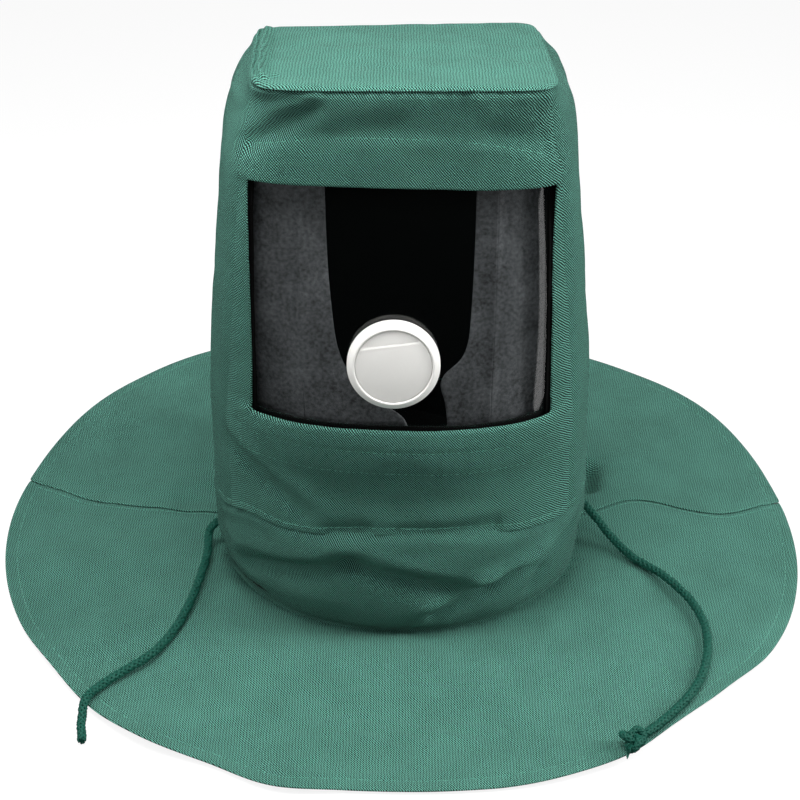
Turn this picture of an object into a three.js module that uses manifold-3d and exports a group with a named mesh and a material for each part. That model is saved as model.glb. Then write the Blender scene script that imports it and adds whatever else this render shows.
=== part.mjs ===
// Sandblasting hood: a canvas head cover with a curved clear window, a round breathing valve, a gathered
// neck band with a drawcord, and a round shoulder cape that it stands on.
// Millimetres, +Z up, front toward -Y. The shapes are worked out from the middle of the neck, on the surface
// below it, and the whole is then moved so that its origin lies under the middle of the cape.

import * as THREE from 'three';
import { mergeVertices } from 'three/addons/utils/BufferGeometryUtils.js';
import Module from 'manifold-3d';

const wasm = await Module();
wasm.setup();

// Sizes of the hood's walls and crown
const hoodHeight = 405;
const hoodWidth = 265;
const hoodDepth = 248;
const crownDrop = 28;
const crownDome = 5;
const crownSkirt = 5;
const canvas = 1.6;
const clearance = 0.3;
const crownGap = 0.6;
const seamShare = 0.87;

// Sizes of the window, its film and the cloth behind it
const windowBottom = 184;
const windowHeight = 159;
const windowWidthLow = 191;
const windowWidthHigh = 184;
const windowTilt = -0.028;
const windowTop = windowBottom + windowHeight;
const filmThickness = 1;
const filmLap = 9;
const filmShare = 0.5;
const bindingThickness = 0.8;
const bindingShown = 4.5;
const facingThickness = 1.2;
const facingWidth = 15;
const facingShare = 0.85;

// Sizes of the charcoal inner face cloth
const linerThickness = 1.2;
const linerDepth = 12;
const linerTop = 367;
const linerBend = 18;
const linerBottom = 166;
const linerSeamLeft = 64;
const linerSeamRight = 61;
const faceOpeningWidth = 88;
const faceOpeningBottom = 206;
const faceOpeningBend = 24;

// Sizes of the breathing valve
const valveDiameter = 60;
const valveHeight = 8.5;
const valveRim = 7;
const valveHeightOnHood = 229.5;
const valveSide = -4;
const valveStem = 32;
const valveBore = 24;
const valveStemLength = 7.5;
const valveCoverThickness = 2;
const valveCoverStep = 0.5;
const valveNutDiameter = 46;
const valveNutThickness = 3;
const valveChamfer = 2.4;
const valveLip = 1.4;
const valveInset = 1.6;

// Sizes of the neck band, its channel and the cape
const neckSeamHeight = 104;
const neckSeamDip = 26;
const neckSeamBend = 1.6;
const neckWall = 2;
const capeSeamHeight = 12;
const capeSeamWidth = 256;
const capeSeamDepth = 226;
const bandPuff = 9;
const sidePuff = 0.2;
const casingDepth = 11;
const casingSeat = 0.6;
const capeReach = 290;
const hemWidth = 9;
const hemThickness = 2.8;
const rippleHeight = 7;
const rippleQuiet = 1;
const shoulderRise = 8;
const creaseDepth = 6.5;

// Sizes of the cord
const cordDiameter = 6;
const knotWidth = 20;

// Sections of the walls. up: share of the way from the neck seam to the crown. wide, front, back: shares of
// half the hood's width and depth. The corner values say how square each corner is.
const wallSections = [
  { up: 0.0, wide: 1.0, front: 1.03, back: 0.97, leftCorner: 2.35, rightCorner: 2.35, backCorner: 2.5 },
  { up: 0.27, wide: 0.974, front: 1.016, back: 0.94, leftCorner: 2.9, rightCorner: 2.7, backCorner: 2.9 },
  { up: 0.53, wide: 0.916, front: 0.94, back: 0.85, leftCorner: 4.2, rightCorner: 3.6, backCorner: 3.6 },
  { up: 0.8, wide: 0.84, front: 0.855, back: 0.75, leftCorner: 5.4, rightCorner: 4.6, backCorner: 4.4 },
  { up: 0.9, wide: 0.795, front: 0.84, back: 0.715, leftCorner: 3.9, rightCorner: 5.0, backCorner: 5.0 },
  { up: 1.0, wide: 0.742, front: 0.835, back: 0.685, leftCorner: 2.9, rightCorner: 5.2, backCorner: 5.6 },
];

// The neck band's bulge between its upper and lower seam, as shares of the band's puff
const bandProfile = [
  { down: 0.0, puff: 0.0 },
  { down: 0.12, puff: 0.45 },
  { down: 0.28, puff: 0.8 },
  { down: 0.45, puff: 0.75 },
  { down: 0.62, puff: 1.0 },
  { down: 0.8, puff: 0.95 },
  { down: 0.93, puff: 0.5 },
  { down: 1.0, puff: 0.0 },
];

// The cape's outline: how far the hem lies from the middle, as a share of the cape's reach
const capeOutline = [
  { angle: -170, reach: 0.988 },
  { angle: -158, reach: 0.965 },
  { angle: -148, reach: 0.948 },
  { angle: -128, reach: 0.944 },
  { angle: -117, reach: 0.917 },
  { angle: -107, reach: 0.932 },
  { angle: -97, reach: 0.903 },
  { angle: -83, reach: 0.905 },
  { angle: -68, reach: 0.93 },
  { angle: -58, reach: 0.938 },
  { angle: -47, reach: 0.92 },
  { angle: -36, reach: 0.94 },
  { angle: -27, reach: 0.98 },
  { angle: -10, reach: 1.0 },
  { angle: 10, reach: 1.022 },
  { angle: 25, reach: 1.052 },
  { angle: 48, reach: 1.1 },
  { angle: 90, reach: 1.11 },
  { angle: 120, reach: 1.148 },
  { angle: 135, reach: 1.125 },
  { angle: 153, reach: 1.064 },
  { angle: 173, reach: 1.022 },
];

// Waves of the hem: the angle of each crest, how far it spreads in degrees, and its share of the ripple height
const hemRipples = [
  { angle: -150, spread: 9, lift: 0.55 },
  { angle: -128, spread: 9, lift: 1.0 },
  { angle: -106, spread: 8, lift: 0.5 },
  { angle: -62, spread: 12, lift: 0.55 },
  { angle: -24, spread: 12, lift: 0.7 },
  { angle: 34, spread: 14, lift: 0.7 },
  { angle: 98, spread: 16, lift: 0.8 },
  { angle: 148, spread: 14, lift: 0.6 },
];

// The cape's side seams: their angles, and how they wander on the way from the hem to the neck, in degrees
const rightSeam = [
  { inward: 0.0, angle: 11.1 },
  { inward: 0.22, angle: 9.2 },
  { inward: 0.42, angle: 8.6 },
  { inward: 0.58, angle: 13.0 },
  { inward: 0.72, angle: 15.2 },
  { inward: 1.0, angle: 12.0 },
];
const leftSeam = [
  { inward: 0.0, angle: 164.0 },
  { inward: 0.25, angle: 166.8 },
  { inward: 0.45, angle: 169.6 },
  { inward: 0.7, angle: 168.6 },
  { inward: 1.0, angle: 166.0 },
];

// Slits in the neck band that the cord comes out of
const cordSlits = [
  { angle: 183.75, up: 0.28 },
  { angle: 3.75, up: 0.39 },
];

// Creases pressed into the cloth. up runs from 0 at the lower edge of that cloth to 1 at its upper edge, and
// on the cape from the hem to the neck. width is a share of half the hood's width, depth of the crease depth.
const creases = [
  { on: 'wall', fromAngle: -134, fromUp: 0.9, toAngle: -112, toUp: 0.93, width: 0.09, depth: 0.8 },
  { on: 'wall', fromAngle: -112, fromUp: 0.92, toAngle: -84, toUp: 0.88, width: 0.08, depth: 0.3 },
  { on: 'wall', fromAngle: -60, fromUp: 0.9, toAngle: -48, toUp: 0.86, width: 0.07, depth: 0.3 },
  { on: 'wall', fromAngle: -141, fromUp: 0.13, toAngle: -119, toUp: 0.03, width: 0.07, depth: 0.45 },
  { on: 'wall', fromAngle: -108, fromUp: 0.02, toAngle: -100, toUp: 0.05, width: 0.06, depth: 0.5 },
  { on: 'wall', fromAngle: -80, fromUp: 0.03, toAngle: -62, toUp: 0.04, width: 0.06, depth: 0.4 },
  { on: 'band', fromAngle: -142, fromUp: 0.42, toAngle: -106, toUp: 0.71, width: 0.06, depth: 1.0 },
  { on: 'band', fromAngle: -106, fromUp: 0.71, toAngle: -70, toUp: 0.44, width: 0.06, depth: 1.0 },
  { on: 'band', fromAngle: -77, fromUp: 0.25, toAngle: -56, toUp: 0.6, width: 0.06, depth: 0.9 },
  { on: 'band', fromAngle: -56, fromUp: 0.6, toAngle: -28, toUp: 0.7, width: 0.07, depth: 0.8 },
  { on: 'band', fromAngle: -10, fromUp: 0.35, toAngle: 40, toUp: 0.6, width: 0.07, depth: 0.9 },
  { on: 'band', fromAngle: 60, fromUp: 0.6, toAngle: 120, toUp: 0.35, width: 0.07, depth: 0.9 },
  { on: 'band', fromAngle: 130, fromUp: 0.3, toAngle: 172, toUp: 0.62, width: 0.07, depth: 0.9 },
  { on: 'cape', fromAngle: 24, fromUp: 0.78, toAngle: 38, toUp: 0.72, width: 0.1, depth: 1.0 },
  { on: 'cape', fromAngle: 158, fromUp: 0.86, toAngle: 166, toUp: 0.78, width: 0.09, depth: 0.6 },
  { on: 'cape', fromAngle: -64, fromUp: 0.99, toAngle: -52, toUp: 0.85, width: 0.09, depth: 0.7 },
];

// Routes of the cord's two free ends: x and y on the surface, and how far the cord's underside lies above the
// cape. The points are chosen by hand.
const leftCordRoute = [
  { x: -125, y: -8, above: 14.4 },
  { x: -131, y: -9, above: 14.3 },
  { x: -138, y: -17, above: 10.5 },
  { x: -138, y: -39, above: 6 },
  { x: -141, y: -67, above: 4 },
  { x: -147, y: -98, above: 2.5 },
  { x: -156, y: -121, above: 1.4 },
  { x: -168, y: -138, above: 0.8 },
  { x: -185, y: -152, above: 0.6 },
  { x: -200, y: -167, above: 0.8 },
  { x: -207, y: -181, above: 1.5 },
  { x: -208, y: -196, above: 1.0 },
  { x: -205, y: -216, above: 0.3 },
];
const rightCordRoute = [
  { x: 125, y: 9, above: 21.3 },
  { x: 131, y: 8, above: 21.3 },
  { x: 141, y: -3, above: 14.5 },
  { x: 154, y: -21, above: 5 },
  { x: 168, y: -41, above: 1.5 },
  { x: 184, y: -54, above: 0.8 },
  { x: 196, y: -68, above: 0.6 },
  { x: 206, y: -86, above: 0.6 },
  { x: 211, y: -108, above: 0.6 },
  { x: 210, y: -128, above: 0.6 },
  { x: 204, y: -151, above: 0.6 },
  { x: 194, y: -171, above: 0.6 },
  { x: 180, y: -190, above: 0.6 },
  { x: 167, y: -205, above: 0.6 },
  { x: 157, y: -215, above: 0.8 },
];
const knotPlace = { x: 149, y: -224, above: 0.5 };

// How finely each cloth is divided
const windowColumns = 10;
const sideColumns = 2;
const backColumns = 20;
const rowsBelowWindow = 4;
const windowRows = 7;
const bandColumns = 48;
const bandRows = 9;
const capeColumns = 24;
const capeRows = 8;
const crownRings = 4;
const roundSides = 28;
const cordSides = 8;
const leftCordSteps = 26;
const rightCordSteps = 32;

const degree = Math.PI / 180;
const fullTurn = 2 * Math.PI;
const mix = THREE.MathUtils.lerp;
const clamp = THREE.MathUtils.clamp;

const clothGreen = new THREE.Color('#3c7a68');
const clothMaterial = () => new THREE.MeshStandardMaterial({ color: clothGreen, roughness: 0.95, metalness: 0 });
const linerMaterial = () => new THREE.MeshStandardMaterial({ color: '#2b2a2c', roughness: 0.7, metalness: 0 });
const bindingMaterial = () => new THREE.MeshStandardMaterial({ color: '#0c0c0d', roughness: 0.6, metalness: 0 });
const plasticMaterial = () => new THREE.MeshStandardMaterial({ color: '#e9e6e0', roughness: 0.45, metalness: 0 });
const cordMaterial = () => new THREE.MeshStandardMaterial({ color: '#13604a', roughness: 0.9, metalness: 0 });
const filmMaterial = () => new THREE.MeshStandardMaterial({
  color: '#dfe6e4', roughness: 0.08, metalness: 0, transparent: true, opacity: 0.25,
});

// A smooth value between the rows of a table: cubic, with slopes taken from both neighbours
function between(rows, key, column, at) {
  const last = rows.length - 1;
  let i = 0;
  while (i < last - 1 && at > rows[i + 1][key]) {
    i += 1;
  }
  const slope = (k) => {
    const low = rows[Math.max(k - 1, 0)];
    const high = rows[Math.min(k + 1, last)];
    return (high[column] - low[column]) / (high[key] - low[key]);
  };
  const span = rows[i + 1][key] - rows[i][key];
  const t = clamp((at - rows[i][key]) / span, 0, 1);
  const ease = t * t * (3 - 2 * t);
  const leave = t * (1 - t) * (1 - t) * span * slope(i);
  const arrive = t * t * (t - 1) * span * slope(i + 1);
  return mix(rows[i][column], rows[i + 1][column], ease) + leave + arrive;
}

// The same table with its ends joined round a full turn
function roundTable(rows) {
  const before = { ...rows[rows.length - 1], angle: rows[rows.length - 1].angle - 360 };
  const after = { ...rows[0], angle: rows[0].angle + 360 };
  return [before, ...rows, after];
}

// An angle brought into the half-open turn from -180 to 180 degrees
function toDegrees(angle) {
  const turned = angle / degree;
  return turned - 360 * Math.floor((turned + 180) / 360);
}

// How deep the creases on one cloth press it in at a place. height is that cloth's height or width.
function dent(cloth, angle, up, height) {
  const turned = toDegrees(angle);
  const arc = degree * hoodWidth / 2;
  let depth = 0;
  for (const crease of creases) {
    if (crease.on === cloth) {
      const { fromAngle, fromUp, toAngle, toUp } = crease;
      const along = new THREE.Vector2((toAngle - fromAngle) * arc, (toUp - fromUp) * height);
      const here = new THREE.Vector2((turned - fromAngle) * arc, (up - fromUp) * height);
      const share = clamp(here.dot(along) / along.lengthSq(), 0, 1);
      const away = here.sub(along.multiplyScalar(share)).length() / (crease.width * hoodWidth / 2);
      depth += crease.depth * creaseDepth * Math.exp(-away * away);
    }
  }
  return depth;
}

// The walls' section at a level, with lengths in millimetres
function sectionAt(level) {
  const up = clamp((level - neckSeamHeight) / (hoodHeight - neckSeamHeight), 0, 1);
  return {
    up,
    side: hoodWidth / 2 * between(wallSections, 'up', 'wide', up),
    front: hoodDepth / 2 * between(wallSections, 'up', 'front', up),
    back: hoodDepth / 2 * between(wallSections, 'up', 'back', up),
    leftCorner: between(wallSections, 'up', 'leftCorner', up),
    rightCorner: between(wallSections, 'up', 'rightCorner', up),
    backCorner: between(wallSections, 'up', 'backCorner', up),
  };
}

// How far the wall stands from the middle at an angle and level
function wallReach(angle, section) {
  const x = Math.cos(angle);
  const y = Math.sin(angle);
  const frontCorner = x < 0 ? section.leftCorner : section.rightCorner;
  const corner = y > 0 ? section.backCorner : frontCorner;
  const depth = y > 0 ? section.back : section.front;
  return ((Math.abs(x) / section.side) ** corner + (Math.abs(y) / depth) ** corner) ** (-1 / corner);
}

// The angle at which the front wall has a given x
function frontAngle(x, section) {
  const corner = x < 0 ? section.leftCorner : section.rightCorner;
  const share = clamp(Math.abs(x) / section.side, 0, 1);
  return Math.atan2(-section.front * (1 - share ** corner) ** (1 / corner), x);
}

// A point of the walls' outer face. The upper edge slopes down toward the back with the crown.
function wallPoint(angle, level) {
  const section = sectionAt(level);
  const reach = wallReach(angle, section) - dent('wall', angle, section.up, hoodHeight - neckSeamHeight);
  const y = reach * Math.sin(angle);
  const share = clamp((level - windowTop) / (hoodHeight - windowTop), 0, 1);
  const fall = share * crownDrop * (y + section.front) / (section.back + section.front);
  return new THREE.Vector3(reach * Math.cos(angle), y, level - fall);
}

// The way out of the walls' outer face
function wallFacing(angle, level) {
  const turn = 0.01;
  const step = 1;
  const across = wallPoint(angle + turn, level).sub(wallPoint(angle - turn, level));
  const upward = wallPoint(angle, level + step).sub(wallPoint(angle, level - step));
  return across.cross(upward).normalize();
}

// The height of the seam between the walls and the neck band: highest in front, lower at the sides and back
function neckSeamAt(angle) {
  const forward = Math.max(0, -Math.sin(angle));
  return neckSeamHeight - neckSeamDip * (1 - forward ** neckSeamBend);
}

// The levels of the wall rows above the window: where the film, its frame and the face cloth end, one between,
// and the two edges of the crown's skirt
const levelsAbove = [
  windowTop + filmLap,
  windowTop + facingWidth,
  linerTop,
  (linerTop + hoodHeight - crownSkirt) / 2,
  hoodHeight - crownSkirt - clearance,
  hoodHeight,
];
const wallRows = rowsBelowWindow + windowRows + levelsAbove.length;

// Half the window's width at a level. Above the window it narrows with the walls.
function windowHalf(level) {
  const share = clamp((level - windowBottom) / windowHeight, 0, 1);
  const narrowing = level > windowTop ? sectionAt(level).side / sectionAt(windowTop).side : 1;
  return narrowing * mix(windowWidthLow, windowWidthHigh, share) / 2;
}

// The level of a wall row, counted from the neck seam through the window's lower and upper edge to the crown.
// lean is how much the window's tilt moves it.
function rowLevel(row, angle, lean) {
  const low = windowBottom + lean;
  const high = windowTop + lean;
  if (row <= rowsBelowWindow) {
    return mix(neckSeamAt(angle) + clearance / 2, low, row / rowsBelowWindow);
  }
  if (row <= rowsBelowWindow + windowRows) {
    return mix(low, high, (row - rowsBelowWindow) / windowRows);
  }
  const above = row - rowsBelowWindow - windowRows;
  return levelsAbove[above - 1] + lean * (1 - above / levelsAbove.length);
}

// A closed wall between a grid of outer points and the same grid set in by the wall's thickness. place gives an
// outer point, wall its thickness there, facing the way out where it is known, and kept says which cells exist.
// closed joins the last column to the first. rim says how the first and last row are set in: level, upright, or
// square to the cloth. crest adds a middle point past the last row, as on a crown.
function clothWall({ columns, rows, place, wall, facing, closed = false, kept = () => true, rim = 'level', crest }) {
  const across = closed ? columns : columns + 1;
  const index = (i, j) => j * across + (closed ? (i + columns) % columns : i);
  const outer = [];
  for (let j = 0; j <= rows; j += 1) {
    for (let i = 0; i < across; i += 1) {
      outer.push(place(i, j));
    }
  }
  const inner = outer.map((point, k) => {
    const i = k % across;
    const j = Math.floor(k / across);
    const east = outer[index(closed ? i + 1 : Math.min(i + 1, columns), j)];
    const west = outer[index(closed ? i - 1 : Math.max(i - 1, 0), j)];
    const north = outer[index(i, Math.min(j + 1, rows))];
    const south = outer[index(i, Math.max(j - 1, 0))];
    const out = facing ? facing(i, j) : east.clone().sub(west).cross(north.clone().sub(south));
    const edge = j === 0 || (j === rows && !crest);
    if (edge && rim === 'level') {
      out.setZ(0);
    }
    if (edge && rim === 'upright') {
      out.set(0, 0, 1);
    }
    return point.clone().addScaledVector(out.normalize(), -wall(i, j));
  });
  const triangles = [];
  const quad = (a, b, c, d) => triangles.push(a, b, c, a, c, d);
  const exists = (i, j) => {
    const inGrid = j >= 0 && j < rows && (closed || (i >= 0 && i < columns));
    return inGrid && kept(closed ? (i + columns) % columns : i, j);
  };
  for (let j = 0; j < rows; j += 1) {
    for (let i = 0; i < columns; i += 1) {
      if (exists(i, j)) {
        const corners = [index(i, j), index(i + 1, j), index(i + 1, j + 1), index(i, j + 1)];
        const [a, b, c, d] = corners.map((k) => outer[k]);
        const [e, f, g, h] = corners.map((k) => inner[k]);
        quad(a, b, c, d);
        triangles.push(g, f, e, h, g, e);
        if (!exists(i, j - 1)) {
          quad(a, e, f, b);
        }
        if (!exists(i + 1, j)) {
          quad(b, f, g, c);
        }
        if (!exists(i, j + 1) && !(crest && j === rows - 1)) {
          quad(c, g, h, d);
        }
        if (!exists(i - 1, j)) {
          quad(d, h, e, a);
        }
      }
    }
  }
  if (crest) {
    const under = crest.clone().setZ(crest.z - wall(0, rows));
    for (let i = 0; i < columns; i += 1) {
      triangles.push(outer[index(i, rows)], outer[index(i + 1, rows)], crest);
      triangles.push(inner[index(i + 1, rows)], inner[index(i, rows)], under);
    }
  }
  const geometry = new THREE.BufferGeometry().setFromPoints(triangles);
  geometry.computeVertexNormals();
  return geometry;
}

// Solids for cutting and joining, and back
function toSolid(geometry) {
  const bare = geometry.clone();
  bare.deleteAttribute('normal');
  bare.deleteAttribute('uv');
  const merged = mergeVertices(bare.index ? bare.toNonIndexed() : bare, 1e-4);
  return new wasm.Manifold(new wasm.Mesh({
    numProp: 3,
    vertProperties: new Float32Array(merged.attributes.position.array),
    triVerts: new Uint32Array(merged.index.array),
  }));
}
function toGeometry(solid) {
  const mesh = solid.getMesh();
  const geometry = new THREE.BufferGeometry();
  geometry.setAttribute('position', new THREE.BufferAttribute(mesh.vertProperties, 3));
  geometry.setIndex(new THREE.BufferAttribute(mesh.triVerts, 1));
  geometry.computeVertexNormals();
  return geometry;
}

function piece(name, geometry, material) {
  const mesh = new THREE.Mesh(geometry, material);
  mesh.name = name;
  return mesh;
}

// The seam between front and back panel at a level, on the left or right side
function seamAngle(side, level) {
  const section = sectionAt(level);
  return frontAngle(side * seamShare * section.side, section);
}

// The x of the front panel's columns at a level: from the left seam to the window, a narrow column as wide as
// the dark strip shows, across the window, and on to the right seam
const frontColumns = 2 * sideColumns + windowColumns;
function columnX(i, level) {
  const half = windowHalf(level);
  const seam = seamShare * sectionAt(level).side;
  const side = i < frontColumns / 2 ? -1 : 1;
  const fromEdge = Math.min(i, frontColumns - i);
  if (fromEdge < sideColumns) {
    return side * mix(seam, half, fromEdge / sideColumns);
  }
  if (fromEdge === sideColumns) {
    return side * half;
  }
  return mix(bindingShown - half, half - bindingShown, (i - sideColumns - 1) / (windowColumns - 2));
}

// The window's tilt at a column, fading from the window's edge to the seam
function columnLean(i, level) {
  const fromEdge = Math.min(i, frontColumns - i);
  return windowTilt * columnX(i, level) * Math.min(1, fromEdge / sideColumns);
}

// The angle and level of the front panel's grid
function frontPlace(i, j) {
  const near = rowLevel(j, -Math.PI / 2, 0);
  const rough = frontAngle(columnX(i, near), sectionAt(near));
  const level = rowLevel(j, rough, columnLean(i, near));
  const seam = seamShare * sectionAt(level).side;
  return { angle: frontAngle(clamp(columnX(i, level), -seam, seam), sectionAt(level)), level };
}
function inWindow(i, j) {
  const across = i >= sideColumns && i < sideColumns + windowColumns;
  return across && j >= rowsBelowWindow && j < rowsBelowWindow + windowRows;
}

// The angle and level of the back panel's grid: the sides and back between the seams, with the same rows
function backPlace(i, j) {
  const near = rowLevel(j, -Math.PI / 4, 0);
  const rough = mix(seamAngle(1, near), seamAngle(-1, near) + fullTurn, i / backColumns);
  const level = rowLevel(j, rough, 0);
  const gap = clearance / (hoodWidth / 2);
  return { angle: mix(seamAngle(1, level) + gap, seamAngle(-1, level) + fullTurn - gap, i / backColumns), level };
}
const pointAt = ({ angle, level }) => wallPoint(angle, level);
const facingAt = ({ angle, level }) => wallFacing(angle, level);
function makePanel(columns, gridPlace, kept) {
  return clothWall({
    columns,
    rows: wallRows,
    place: (i, j) => pointAt(gridPlace(i, j)),
    facing: (i, j) => facingAt(gridPlace(i, j)),
    wall: () => canvas,
    kept,
  });
}

// The loop of the walls' outer points, seen from above, a share of a row below their upper edge
function wallLoop(share) {
  const at = (grid, i) => pointAt(grid(i, wallRows)).lerp(pointAt(grid(i, wallRows - 1)), share);
  const front = Array.from({ length: frontColumns + 1 }, (_, i) => at(frontPlace, i));
  const back = Array.from({ length: backColumns - 1 }, (_, i) => at(backPlace, i + 1));
  return [...front, ...back];
}

// The same loop moved outward, each side by the same distance
function loopOutward(loop, distance) {
  const flat = (from, to) => new THREE.Vector3(to.y - from.y, from.x - to.x, 0).normalize();
  return loop.map((point, k) => {
    const first = flat(loop[(k + loop.length - 1) % loop.length], point);
    const second = flat(point, loop[(k + 1) % loop.length]);
    const corner = first.clone().add(second).divideScalar(1 + first.dot(second));
    return point.clone().addScaledVector(corner, distance);
  });
}

// The crown: a skirt turned down over the walls' upper edge, then rings that rise to a low dome
function makeCrownPanel() {
  const over = canvas + crownGap;
  const skirt = loopOutward(wallLoop(crownSkirt / (crownSkirt + clearance)), over);
  const edge = loopOutward(wallLoop(0), over);
  const top = sectionAt(hoodHeight);
  const middleFall = crownDrop * top.front / (top.back + top.front);
  const crest = new THREE.Vector3(0, 0, hoodHeight - middleFall + over + crownDome);
  const place = (i, j) => {
    if (j === 0) {
      return skirt[i].clone();
    }
    const inward = (j - 1) / (crownRings + 1);
    const level = mix(edge[i].z, hoodHeight - middleFall, inward);
    const rise = over + crownDome * (1 - (1 - inward) ** 2);
    return new THREE.Vector3(edge[i].x * (1 - inward), edge[i].y * (1 - inward), level + rise);
  };
  return clothWall({
    columns: edge.length,
    rows: 1 + crownRings,
    place,
    wall: () => canvas,
    closed: true,
    crest,
  });
}

// A point behind the front wall, a given depth inside its outer face
function behindFront(x, level, depth) {
  const angle = frontAngle(x, sectionAt(level));
  return wallPoint(angle, level).addScaledVector(wallFacing(angle, level), -depth);
}

// A sheet behind the front wall on the front panel's columns, between two of them. rows is a list of levels,
// and depth may change with the level. outer moves the first and last column, as a share of the way from the
// window's edge to the seam.
function frontSheet({ first, last, outer, rows, thickness, depth, kept }) {
  const spot = (i, j) => {
    const column = first + i;
    const x = columnX(column, rows[j]);
    const half = windowHalf(rows[j]);
    const seam = seamShare * sectionAt(rows[j]).side;
    const atSide = Math.abs(x) > half;
    const moved = atSide ? Math.sign(x) * mix(half, seam, outer) : x;
    const level = rows[j] + windowTilt * moved;
    return { angle: frontAngle(moved, sectionAt(level)), level, depth: depth(rows[j]) };
  };
  return clothWall({
    columns: last - first,
    rows: rows.length - 1,
    place: (i, j) => {
      const at = spot(i, j);
      return pointAt(at).addScaledVector(facingAt(at), -at.depth);
    },
    facing: (i, j) => facingAt(spot(i, j)),
    wall: () => thickness,
    kept,
    rim: 'square',
  });
}
function spread(from, to, count) {
  return Array.from({ length: count + 1 }, (_, k) => mix(from, to, k / count));
}
const windowLevels = spread(windowBottom, windowTop, windowRows);
const firstShown = sideColumns - 1;
const lastShown = frontColumns - sideColumns + 1;

// Depths of what lies behind the window, from the front wall's outer face inward
const bindingDepth = canvas + clearance;
const filmDepth = bindingDepth + bindingThickness + clearance;
const facingDepth = filmDepth + filmThickness + clearance;

// The breathing valve stands on the film, square to it
const valveSeat = behindFront(valveSide, valveHeightOnHood, filmDepth - clearance);
const valveAxis = behindFront(valveSide, valveHeightOnHood, 0).sub(valveSeat).normalize();
function onValve(geometry) {
  const turn = new THREE.Quaternion().setFromUnitVectors(new THREE.Vector3(0, 1, 0), valveAxis);
  return geometry.applyQuaternion(turn).translate(valveSeat.x, valveSeat.y, valveSeat.z);
}
function lathe(profile) {
  const points = profile.map(([radius, height]) => new THREE.Vector2(radius, height));
  points.push(points[0].clone());
  return new THREE.LatheGeometry(points, roundSides);
}

// The clear film, with a hole for the valve's stem
function makeLens() {
  const film = frontSheet({
    first: firstShown,
    last: lastShown,
    outer: filmShare,
    rows: [windowBottom - filmLap, ...windowLevels, windowTop + filmLap],
    thickness: filmThickness,
    depth: () => filmDepth,
  });
  const holeRadius = valveStem / 2 + clearance;
  const reach = valveStemLength + filmThickness;
  const drill = onValve(new THREE.CylinderGeometry(holeRadius, holeRadius, 2 * reach, roundSides));
  return toGeometry(toSolid(film).subtract(toSolid(drill)));
}

// The dark strip on one upright edge of the film, partly hidden behind the cloth
function makeBinding(side) {
  return frontSheet({
    first: side < 0 ? firstShown : lastShown - 2,
    last: side < 0 ? firstShown + 2 : lastShown,
    outer: filmShare,
    rows: [windowBottom - filmLap, ...windowLevels, windowTop + filmLap],
    thickness: bindingThickness,
    depth: () => bindingDepth,
  });
}

// The cloth frame behind the film
function makeFacing() {
  const rows = [
    windowBottom - facingWidth,
    windowBottom - filmLap,
    ...windowLevels,
    windowTop + filmLap,
    windowTop + facingWidth,
  ];
  const last = lastShown - firstShown - 1;
  return frontSheet({
    first: firstShown,
    last: lastShown,
    outer: facingShare,
    rows,
    thickness: facingThickness,
    depth: () => facingDepth,
    kept: (i, j) => i === 0 || i === last || j < 2 || j > rows.length - 4,
  });
}

// The charcoal inner face cloth hangs from the seam above the window, behind everything else. Its columns are
// lists of shares from its left seam to its right one.
function linerDepthAt(level) {
  const hang = clamp((linerTop - level) / linerBend, 0, 1);
  return mix(canvas + 3 * clearance, linerDepth, hang * hang * (3 - 2 * hang));
}
const linerRows = [
  linerBottom,
  windowBottom,
  faceOpeningBottom - faceOpeningBend / 3,
  faceOpeningBottom,
  faceOpeningBottom + faceOpeningBend / 3,
  ...spread(faceOpeningBottom + faceOpeningBend, windowTop + filmLap, 3),
  windowTop + facingWidth,
  linerTop,
];
function linerSheet(columnsAt, kept) {
  const spot = (i, j) => {
    const level = linerRows[j] + windowTilt * columnsAt[i](linerRows[j]);
    const angle = frontAngle(columnsAt[i](linerRows[j]), sectionAt(level));
    return { angle, level, depth: linerDepthAt(linerRows[j]) };
  };
  return clothWall({
    columns: columnsAt.length - 1,
    rows: linerRows.length - 1,
    place: (i, j) => {
      const at = spot(i, j);
      return pointAt(at).addScaledVector(facingAt(at), -at.depth);
    },
    facing: (i, j) => facingAt(spot(i, j)),
    wall: () => linerThickness,
    kept,
    rim: 'square',
  });
}
function makeLinerSide(side) {
  const outer = (level) => side * mix(windowHalf(level), seamShare * sectionAt(level).side, facingShare);
  const inner = () => side * ((side < 0 ? linerSeamLeft : linerSeamRight) + clearance);
  const middle = (level) => mix(outer(level), inner(), 0.5);
  return linerSheet(side < 0 ? [outer, middle, inner] : [inner, middle, outer]);
}
function makeLinerCenter() {
  const half = faceOpeningWidth / 2;
  const lip = (share) => (level) => {
    const up = clamp((level - faceOpeningBottom) / faceOpeningBend, 0, 1);
    return share * half * mix(0.5, 1, Math.sqrt(up * (2 - up)));
  };
  const columnsAt = [() => -linerSeamLeft, ...[-1, -0.5, 0, 0.5, 1].map(lip), () => linerSeamRight];
  const openFrom = linerRows.indexOf(faceOpeningBottom);
  const openTo = linerRows.indexOf(windowTop + filmLap);
  return linerSheet(columnsAt, (i, j) => i === 0 || i === 5 || j < openFrom || j >= openTo);
}

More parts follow.
